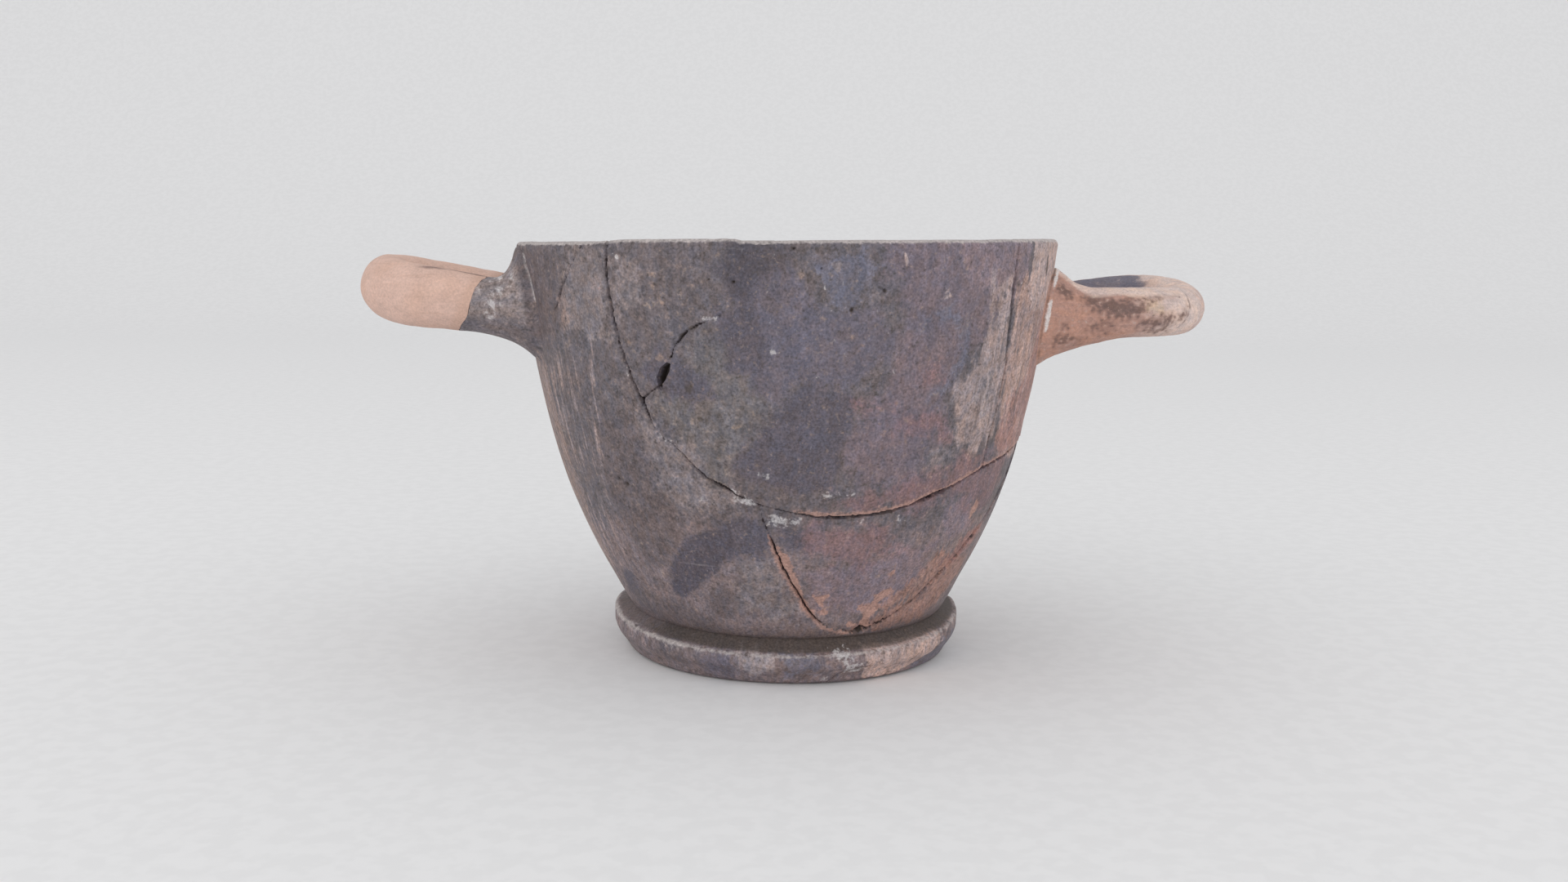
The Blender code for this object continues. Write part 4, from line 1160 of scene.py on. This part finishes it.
def slip_material(colours):
    """Iron slip on wheel-thrown clay, misfired grey to purple, worn in the ground.

    The slip is thin and only half gloss, so the eye sees clouded patches, specks of tan clay where it
    is rubbed through, fine lines round the pot from the wheel and streaks down its sides. The finest
    grain is real sand of 0.1 to 0.2 mm, drawn at 0.4 mm so that it shows.
    """
    coats = Coats("Misfired slip on thrown clay", 0.62, 1.45, colours, "slip")
    drum = coats.attribute("unrolled", "Vector")
    cloud = coats.pattern(10.0, 4.0)
    blotch = coats.pattern(4.5, 5.0)
    mottle = coats.pattern(2.2, 4.0)
    speck = coats.pattern(0.9, 3.0)
    fleck = coats.pattern(1.2, 3.0, (1, 1, 1.6), drum)
    grain = coats.pattern(0.42, 3.0)
    streak = coats.pattern(0.9, 3.0, (1, 1, 11), drum)
    brush = coats.pattern(2.6, 3.0, (1, 1, 7), drum)
    wheel = coats.pattern(0.7, 3.0, (40, 40, 1), drum)
    rings = coats.pattern(2.6, 3.0, (30, 30, 1), drum)
    hairs = coats.pattern(0.32, 2.0, (1, 1, 4), drum)

    for kind, noise_used, strength, low, high, amount in (
        ("lower", cloud, 0.8, 0.3, 0.7, 1.0),
        ("violet", cloud, 1.0, 0.4, 0.66, 0.95),
        ("olive", cloud, 1.0, 0.4, 0.6, 0.9),
        ("steel", cloud, 0.9, 0.4, 0.64, 0.95),
        ("pale", blotch, 1.1, 0.42, 0.66, 0.9),
        ("umber", blotch, 0.9, 0.4, 0.66, 0.9),
        ("dusk", blotch, 1.0, 0.4, 0.66, 0.95),
        ("ink", blotch, 1.2, 0.36, 0.8, 0.9),
        ("mauve", blotch, 1.0, 0.4, 0.64, 0.9),
        ("blue", mottle, 1.0, 0.42, 0.66, 0.85),
        ("red", blotch, 1.3, 0.4, 0.76, 0.68),
        ("slate", mottle, 1.1, 0.4, 0.62, 0.9),
        ("salmon", brush, 1.8, 0.42, 1.0, 0.9),
    ):
        coats.cover("slip_" + kind, kind, low, high, amount, (noise_used, strength), (speck, 0.5))
    for kind, amount in (("thin", 0.85), ("bloom", 0.85), ("strip", 0.9), ("blush", 0.85)):
        worn = (blotch, 0.8), (brush, 1.2), (streak, 0.5)
        coats.cover("slip_" + kind, kind, 0.42, 0.66, amount, *worn)
    coats.cover("slip_rubbed", "rubbed", 0.4, 0.62, 0.85, (speck, 0.6), (mottle, 0.7))
    coats.cover("clay_orange", "orange", 0.36, 0.64, 0.8, (streak, 1.2), (mottle, 0.8))
    coats.cover("stub", "stub", 0.2, 0.8, 0.85)
    coats.cover("slip_umber", "under", 0.1, 1.0, 0.65, (mottle, 0.6))

    coats.cover("clay_tan", "freckles", 1.02, 1.3, 0.45, (mottle, 2.6))
    coats.cover("clay_tan", "tan", 0.45, 0.75, 0.4, (mottle, 0.8), (speck, 0.8))
    coats.cover("slip_rubbed", "streaky", 1.05, 1.5, 0.45, (streak, 2.6), (brush, 1.4))
    coats.cover("slip_umber", "streaky", 1.05, 1.5, 0.6, (streak, -2.6), (mottle, 1.4))
    coats.tint(cloud, (0.97, 0.995, 1.03), (1.04, 1.0, 0.97))
    coats.tint(fleck, (0.94, 0.99, 1.06), (1.06, 1.0, 0.95))
    even = coats.shade
    coats.vary((mottle, 0.15), (speck, 0.18))
    coats.cover(even, "smooth", 0.35, 0.75, 0.8)
    coats.vary((brush, 0.06), (blotch, 0.08), (mottle, 0.1))
    coats.cover("clay_tan", speck, 0.57, 0.74, 0.45)
    coats.cover("soil", speck, 0.45, 0.26, 0.55)
    coats.cover("slip_dusk", fleck, 0.44, 0.28, 0.45)
    coats.cover("lime", hairs, 0.67, 0.8, 0.25)
    coats.cover("lime", wheel, 0.66, 0.8, 0.2)
    coats.vary((streak, 0.08))

    outside = coats.shade
    coats.vary((rings, 0.18), (wheel, 0.15))
    inside, coats.shade = coats.shade, outside
    coats.cover(inside, "inside", 0.4, 0.6)
    # Wear and a painted highlight on the edges of lip and foot
    coats.cover("wear", "wear", 0.35, 0.95, 0.85, (speck, 1.2), (blotch, 0.9))
    # Soil and painted shade in the corner between foot and bowl, and round the stub's root
    coats.cover("soil", "dirt", 0.2, 1.05, 0.85, (mottle, 0.9), (speck, 0.8))
    coats.cover("clay_bare", "bare", 0.36, 0.58, 0.85, (speck, 1.0), (mottle, 0.8))
    coats.cover("clay_bare", "band", 0.25, 0.8, 0.7, (speck, 1.2), (mottle, 1.2))
    coats.cover("lime", "chalk", 0.9, 1.5, 0.75, (mottle, 2.2), (speck, 2.0))
    coats.cover("glue", "glue", 0.45, 0.75, 0.45)
    coats.cover("lime", "lime", 0.6, 1.0, 0.65, (speck, 2.2), (mottle, 1.0))
    coats.cover("soil", "smudge", 0.3, 0.8, 0.75, (speck, 1.0))
    coats.vary((grain, 0.36))
    # Soil and painted shade in the pits and the hole
    coats.cover("soil", "pit", 0.42, 0.8, 0.9, (speck, 0.6))
    # Dirt and painted shade inside the seams' grooves
    coats.cover("gap", "gap", 0.07, -0.08, 0.92, (speck, 0.6))
    return coats.finished((wheel, 0.03), (mottle, 0.06), (speck, 0.05), (grain, 0.03))


def plain_clay_material(colours):
    """Fired clay of the right handle, rolled by hand, rubbed bare of slip and stained.

    Matt, with rubbed-in brown stains, cream patches, short streaks along the roll and a white bead of
    glue at its root.
    """
    coats = Coats("Bare fired clay, hand-rolled", 0.75, 1.45, colours, "handle_clay")
    cloud = coats.pattern(7.0, 4.0, (2.0, 1, 1))
    mottle = coats.pattern(2.0, 5.0, (1.6, 1, 1))
    speck = coats.pattern(0.8, 3.0)
    grain = coats.pattern(0.4, 3.0)
    roll = coats.pattern(0.5, 3.0, (9, 9, 1))
    coats.cover("handle_pale", "reach", 0.25, 0.85, 1.0, (cloud, 0.8))
    coats.cover("handle_cream", "cream", 0.4, 0.7, 0.75, (mottle, 0.9), (speck, 0.6))
    coats.cover("clay_bare", cloud, 0.52, 0.7, 0.4)
    coats.cover("handle_dark", "dark", 0.28, 0.92, 0.92, (mottle, 1.9), (speck, 1.3))
    # Painted shade inside the loop, on the rear branch's inner face
    coats.cover("slip_blue", "slate", 0.3, 0.6, 0.95, (mottle, 0.9))
    # Painted highlight on the front branch's upward faces
    coats.cover("handle_pale", "ridge", 0.3, 0.8, 0.85, (mottle, 1.0), (cloud, 0.6))
    coats.tint(mottle, (0.96, 1.0, 1.05), (1.04, 1.0, 0.95))
    coats.vary((mottle, 0.12), (roll, 0.08))
    coats.cover("handle_dark", speck, 0.6, 0.8, 0.6)
    coats.cover("handle_pale", speck, 0.42, 0.24, 0.5)
    coats.cover("handle_dark", "arc", 0.45, 0.9, 0.6, (mottle, 1.2))
    # Soil and painted shade at the handle's join with the wall
    coats.cover("soil", "root_soil", 0.35, 0.9, 0.7, (mottle, 1.0))
    coats.cover("glue", "glue", 0.4, 0.75, 0.85, (speck, 0.7))
    coats.vary((grain, 0.2))
    return coats.finished((mottle, 0.1), (roll, 0.04), (speck, 0.06), (grain, 0.03))


def plaster_material(colours):
    """Tinted plaster, scraped smooth and matt, with faint blotches from the colour rubbed into it."""
    coats = Coats("Tinted plaster, scraped smooth", 0.8, 1.45, colours, "plaster")
    cloud = coats.pattern(8.0, 3.0)
    mottle = coats.pattern(1.8, 4.0, (2, 2, 1))
    scrape = coats.pattern(0.5, 2.0, (18, 18, 1))
    grain = coats.pattern(0.4, 3.0)
    coats.cover("plaster_shade", cloud, 0.42, 0.7, 0.7)
    coats.cover("plaster_shade", scrape, 0.52, 0.75, 0.5)
    coats.cover("plaster_shade", "edge", 0.3, 0.9, 0.7, (cloud, 0.8))
    # Painted shade and dirt along the inner top of the front branch
    coats.cover("handle_dark", "crumb", 0.4, 0.95, 0.7, (mottle, 1.4))
    coats.vary((cloud, 0.08), (mottle, 0.09), (grain, 0.12))
    return coats.finished((scrape, 0.02), (mottle, 0.05), (grain, 0.02))


def paper_material(colours):
    """Seamless background paper: matt, with the least trace of tooth."""
    coats = Coats("Seamless paper", 0.9, 1.5, colours, "floor")
    darker = (*(value * 0.97 for value in colours.floor[:3]), 1.0)
    coats.cover(darker, coats.pattern(4.0, 2.0), 0.4, 0.6)
    return coats.finished()


# ---------------------------------------------------------------- handles


def wall_distance(handle, wall):
    """How far out the middle of a handle's branch meets the wall."""
    radius = float(wall.radius(handle.root_height / MM))
    return math.sqrt(radius**2 - HALF_SPREAD**2)


def handle_path(handle, wall):
    """Stations along the whole loop: distance out, distance across and direction of travel."""
    start = wall_distance(handle, wall)
    bend = start + STRAIGHT_RUN
    end = (handle.reach - handle.rod_width / 2) / MM
    front = []
    steps = round(STRAIGHT_RUN / HANDLE_STEP)
    for step in range(steps):
        front.append((start + STRAIGHT_RUN * step / steps, -HALF_SPREAD, Vector((1.0, 0.0))))
    steps = round(1.57 * (end - bend + HALF_SPREAD) / 2 / HANDLE_STEP)
    for step in range(steps + 1):
        angle = math.pi / 2 * step / steps
        out, across = (end - bend) * math.sin(angle), HALF_SPREAD * math.cos(angle)
        way = Vector(((end - bend) * math.cos(angle), HALF_SPREAD * math.sin(angle)))
        front.append((bend + out, -across, way.normalized()))
    rear = [(out, -across, Vector((-way.x, way.y))) for out, across, way in reversed(front[:-1])]
    return front + rear


def handle_ring(handle, wall, station, side, embed):
    """One oval section of the handle. Near the wall it flares and its points follow the wall's face."""
    out, across, way = station
    start = wall_distance(handle, wall)
    run = max(out - start, 0.0)
    share = min(run / ((handle.reach - handle.rod_width / 2) / MM - start), 1.0)
    rise = handle.rise * (1 - (1 - share) ** handle.rise_power)
    twist = handle.twist * share**2 * across / HALF_SPREAD
    centre = (handle.root_height + rise + twist) / MM
    thicker = (handle.end_thickness - handle.root_thickness) * share
    rod = (handle.root_thickness + thicker) / MM / 2
    near_top = run / (handle.flare_up_length / MM)
    near_bottom = run / (handle.flare_down_length / MM)
    up = min(rod + handle.flare_up / MM * math.exp(-(near_top**2)), TOP_LIMIT - centre)
    down = rod + handle.flare_down / MM * math.exp(-near_bottom)
    half_width = handle.rod_width / MM / 2 + FLARE_OUT * math.exp(-near_top)
    freed = float(smooth_step(run, 0.0, ROOT_BLEND))
    ring = []
    for index in range(SECTION_SIDES):
        angle = 2 * math.pi * index / SECTION_SIDES
        outwards = half_width * math.cos(angle)
        height = centre + (up if math.sin(angle) > 0 else down) * math.sin(angle)
        place = np.array(((side * (out + outwards * way.y), across - outwards * way.x, height),))
        x, y, z = unlean(place)[0]
        on_wall = math.sqrt(max(float(wall.radius(z)) ** 2 - y * y, 0.0)) - embed + run
        ring.append((side * (on_wall + (abs(x) - on_wall) * freed), y, z))
    return ring


def handle_blank(name, handle, wall, side, embed):
    path = handle_path(handle, wall)
    return pull_through(name, [handle_ring(handle, wall, station, side, embed) for station in path])


def before_break(points):
    """Distance of each point from the break's plane, positive on the bowl's side."""
    return (points - np.array(BREAK_POINT)) @ np.array(BREAK_FACING)


def ripple_break(points):
    """Makes the left handle's break wavy; both sides get the same shift, so they still meet."""
    facing = np.array(BREAK_FACING)
    distance = before_break(points)
    flat = points - distance[:, None] * facing
    near = np.clip(1 - np.abs(distance) / BREAK_REACH, 0, 1) * (points[:, 0] < -50.0)
    wave = np.interp(flat[:, 2], *zip(*BREAK_WAVE)) + 0.25 * fractal(flat, 2.5, 31, 3)
    return points + (near * wave)[:, None] * facing


def cut_at_break(piece, keep_bowl_side):
    """Cuts the left handle at its break and keeps one side, closed with a cap."""
    take_up(piece)
    facing = Vector(BREAK_FACING)
    offset = facing * (BREAK_GAP if keep_bowl_side else -BREAK_GAP)
    bpy.ops.object.mode_set(mode="EDIT")
    bpy.ops.mesh.select_all(action="SELECT")
    bpy.ops.mesh.bisect(
        plane_co=(BREAK_POINT + offset) * MM, plane_no=facing, use_fill=True,
        clear_inner=keep_bowl_side, clear_outer=not keep_bowl_side,
    )
    bpy.ops.object.mode_set(mode="OBJECT")


def settle(piece, name, material, body="root"):
    """Names and coats the finished piece, smooths its shading and lets it ride."""
    piece.name = piece.data.name = name
    piece.data.materials.clear()
    piece.data.materials.append(material)
    take_up(piece)
    bpy.ops.object.shade_smooth_by_angle(angle=math.radians(50))
    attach(piece, body)


class SKYPHOS_OT_cup(bpy.types.Operator):
    """Turn the cup, join the left handle's stub to it and work in its seams, chips and patches."""

    bl_idname = "skyphos.cup"
    bl_label = "Make the cup"

    def execute(self, context):
        settings = context.scene.skyphos
        wall = Wall(settings.cup)
        cup = turn_on_wheel("cup", cup_profile(settings.cup))
        stub = handle_blank("stub", settings.left, wall, -1, ROOT_EMBED)
        cut_at_break(stub, True)
        apply_boolean(cup, stub, "UNION")
        apply_boolean(cup, self.hole_cutter(wall), "DIFFERENCE")
        write_points(cup, ripple_break(read_points(cup)))
        for reach in MARK_REACHES:
            refine_marks(cup, wall, reach)
        mark_cup(cup, wall, settings.cup)
        write_points(cup, lean(read_points(cup)))
        settle(cup, "cup_and_left_stub", slip_material(settings.colours))
        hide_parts("skyphos_body")
        return {"FINISHED"}

    def hole_cutter(self, wall):
        """A jagged prism that goes deep into the wall where a flake is missing."""
        rings = []
        for depth in (-2.9, 3.0):
            places = [(float(wall.radius(z)) + depth, math.radians(angle), z) for angle, z in HOLE]
            rings.append([(out * math.sin(turn), -out * math.cos(turn), z) for out, turn, z in places])
        return pull_through("hole_cutter", rings)


class SKYPHOS_OT_right_handle(bpy.types.Operator):
    """Make the glued right handle and the bead of glue round its root."""

    bl_idname = "skyphos.right_handle"
    bl_label = "Make the right handle"

    def execute(self, context):
        settings = context.scene.skyphos
        wall = Wall(settings.cup)
        handle = handle_blank("right_handle_clay", settings.right, wall, 1, GLUED_EMBED)
        turned = read_points(handle)
        normals = read_vectors(handle.data.vertices, "normal")
        off_wall = np.hypot(turned[:, 0], turned[:, 1]) - wall.radius(turned[:, 2])
        bead = bell(off_wall, 0.7, 0.4) * np.clip(0.6 + fractal(turned, 6.0, 21, 2), 0.1, 1)
        points = lean(turned)
        bumps = 0.14 * fractal(points, 7.0, 11, 3)
        bumps += 0.05 * fractal(points, 1.8, 13, 3) * (off_wall > 0.5)
        points += normals * (bumps + 0.22 * bead)[:, None]
        write_points(handle, points)
        # Soil and painted shade along the line where the handle meets the wall
        write_attribute(handle, "root_soil", bell(off_wall, 0.1, 0.3))
        write_attribute(handle, "glue", np.clip(bead * 1.2, 0, 1))
        self.paint_stains_and_light(handle, points, normals, turned)
        settle(handle, "right_loop_handle", plain_clay_material(settings.colours))
        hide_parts("right_handle")
        return {"FINISHED"}

    def paint_stains_and_light(self, handle, points, normals, turned):
        """Writes the masks of the stains, of the paler end, of the painted shade inside the loop and of
        the painted highlight on the front branch's top.
        """
        across, height = points[:, 0], points[:, 2]
        front = 1 - smooth_step(turned[:, 1], -12.0, -8.0)
        waved = across + 0.3 * fractal(points, 2.0, 14, 3)
        for kind, outlines in HANDLE_STAINS.items():
            stained = edge_mask(patches_distance(waved, height, outlines), 2.2)
            write_attribute(handle, kind, front * stained)
        arc_distance = line_distance(across, height, NOSE_ARC)
        write_attribute(handle, "arc", front * np.clip(1 - arc_distance / 0.6, 0, 1))
        # Painted shade: the rear branch's inner face, seen through the loop, is coloured blue-grey
        inner = smooth_step(turned[:, 1], 0.0, 4.0) * smooth_step(-normals[:, 1], -0.1, 0.2)
        write_attribute(handle, "slate", inner * (1 - smooth_step(across, 65.0, 73.0)))
        # Painted highlight: the front branch's upward-facing faces are made paler
        write_attribute(handle, "ridge", front * smooth_step(normals[:, 2], 0.45, 0.95))
        write_attribute(handle, "reach", np.clip((across - 46.0) / 33.0, 0, 1))


class SKYPHOS_OT_left_fill(bpy.types.Operator):
    """Make the plaster end of the left handle."""

    bl_idname = "skyphos.left_fill"
    bl_label = "Make the left handle's fill"

    def execute(self, context):
        settings = context.scene.skyphos
        fill = handle_blank("left_fill", settings.left, Wall(settings.cup), -1, ROOT_EMBED)
        cut_at_break(fill, False)
        turned = ripple_break(read_points(fill))
        off_break = -before_break(turned)
        normals = read_vectors(fill.data.vertices, "normal")
        points = lean(turned)
        bumps = 0.16 * fractal(points, 8.0, 32, 2) + 0.03 * fractal(points, 2.0, 33, 2)
        points += normals * (smooth_step(off_break, 0.2, 3.0) * bumps)[:, None]
        low = smooth_step(70.0 - points[:, 2], 0.0, 9.0)
        points[:, 2] += 1.1 * low * smooth_step(-points[:, 0], 70.0, 81.0)
        write_points(fill, points)
        # Painted shade, with some dirt: a dark line along the front branch's inner top, where the rear
        # branch shows behind it
        inner_top = bell(turned[:, 1], -13.2, 1.1) * smooth_step(normals[:, 2], 0.7, 0.9)
        write_attribute(fill, "crumb", inner_top * (1 - smooth_step(-points[:, 0], 66.0, 71.0)))
        write_attribute(fill, "edge", 1 - smooth_step(off_break, 0.0, 3.5))
        settle(fill, "left_handle_plaster", plaster_material(settings.colours))
        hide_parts("left_handle_restoration")
        return {"FINISHED"}


class SKYPHOS_OT_stage(bpy.types.Operator):
    """Set up the pale floor, the soft lights and the camera."""

    bl_idname = "skyphos.stage"
    bl_label = "Set up the studio"

    def execute(self, context):
        self.paper(context.scene.skyphos.colours)
        self.lights()
        self.camera()
        context.scene.view_settings.view_transform = "Standard"
        return {"FINISHED"}

    def paper(self, colours):
        """A sheet that lies under the cup and curves up behind it."""
        deselect_everything()
        bpy.ops.mesh.primitive_plane_add(size=SHEET_SIZE, location=(0, 0, 0))
        sheet = bpy.context.object
        bpy.context.tool_settings.mesh_select_mode = (False, True, False)
        bpy.ops.object.mode_set(mode="EDIT")
        self.select_back_edge(sheet)
        bpy.ops.mesh.extrude_region_move(TRANSFORM_OT_translate={"value": (0, 0, SHEET_HEIGHT)})
        self.select_back_edge(sheet)
        bpy.ops.mesh.bevel(offset=SHEET_BEND, segments=16, affect="EDGES")
        bpy.ops.object.mode_set(mode="OBJECT")
        bpy.ops.object.shade_smooth()
        sheet.name = sheet.data.name = "studio_paper"
        sheet.data.materials.append(paper_material(colours))

    def select_back_edge(self, sheet):
        bpy.ops.mesh.select_all(action="DESELECT")
        work = bmesh.from_edit_mesh(sheet.data)
        for edge in work.edges:
            if all(vertex.co.y > 1.4 and vertex.co.z < 0.01 for vertex in edge.verts):
                edge.select_set(True)
        bmesh.update_edit_mesh(sheet.data)

    def lights(self):
        world = bpy.data.worlds.new("Studio")
        world.use_nodes = True
        backdrop = world.node_tree.nodes["Background"]
        backdrop.inputs["Color"].default_value = (1.0, 1.0, 1.0, 1.0)
        backdrop.inputs["Strength"].default_value = SKY_STRENGTH
        bpy.context.scene.world = world
        for name, (place, size, watts) in SOFTBOXES.items():
            light = bpy.data.lights.new(name, "AREA")
            light.shape, light.size, light.energy = "SQUARE", size, watts
            lamp = bpy.data.objects.new(name, light)
            lamp.location = place
            towards_cup = Vector((0, 0, 0.04)) - Vector(place)
            lamp.rotation_euler = towards_cup.to_track_quat("-Z", "Y").to_euler()
            bpy.context.scene.collection.objects.link(lamp)

    def camera(self):
        turn = Matrix.Rotation(math.radians(CAMERA_TURN), 4, "Z")
        pitch = Matrix.Rotation(math.radians(CAMERA_PITCH), 4, "X")
        roll = Matrix.Rotation(math.radians(CAMERA_ROLL), 4, "Z")
        camera = bpy.data.objects.new("camera", bpy.data.cameras.new("camera"))
        camera.data.sensor_width = SENSOR_WIDTH
        camera.data.lens = FOCAL_PIXELS / PHOTO_WIDTH * SENSOR_WIDTH
        camera.data.clip_start, camera.data.clip_end = 0.01, 20
        place = turn @ CAMERA_PLACE * MM
        camera.matrix_world = Matrix.Translation(place) @ turn @ pitch @ roll
        bpy.context.scene.collection.objects.link(camera)
        bpy.context.scene.camera = camera


OPERATORS = (SKYPHOS_OT_stage, SKYPHOS_OT_cup, SKYPHOS_OT_right_handle, SKYPHOS_OT_left_fill)


class SKYPHOS_PT_panel(bpy.types.Panel):
    """Lists the skyphos tools."""

    bl_idname = "SKYPHOS_PT_panel"
    bl_label = "Skyphos"
    bl_space_type = "VIEW_3D"
    bl_region_type = "UI"
    bl_category = "Skyphos"

    def draw(self, context):
        for operator in OPERATORS:
            self.layout.operator(operator.bl_idname)


CLASSES = (
    SkyphosCupSizes, SkyphosHandleSizes, SkyphosColours, SkyphosSettings, *OPERATORS, SKYPHOS_PT_panel,
)


def register():
    for item in CLASSES:
        bpy.utils.register_class(item)
    bpy.types.Scene.skyphos = bpy.props.PointerProperty(type=SkyphosSettings)


def unregister():
    del bpy.types.Scene.skyphos
    for item in reversed(CLASSES):
        bpy.utils.unregister_class(item)


def main():
    register()
    settings = bpy.context.scene.skyphos
    for handle, sizes in ((settings.left, LEFT_HANDLE), (settings.right, RIGHT_HANDLE)):
        for name, value in sizes.items():
            setattr(handle, name, value * MM)
    settings.right.rise_power = 2.0
    bpy.ops.skyphos.stage()
    bpy.ops.skyphos.cup()
    bpy.ops.skyphos.right_handle()
    bpy.ops.skyphos.left_fill()


if __name__ == "__main__":
    main()
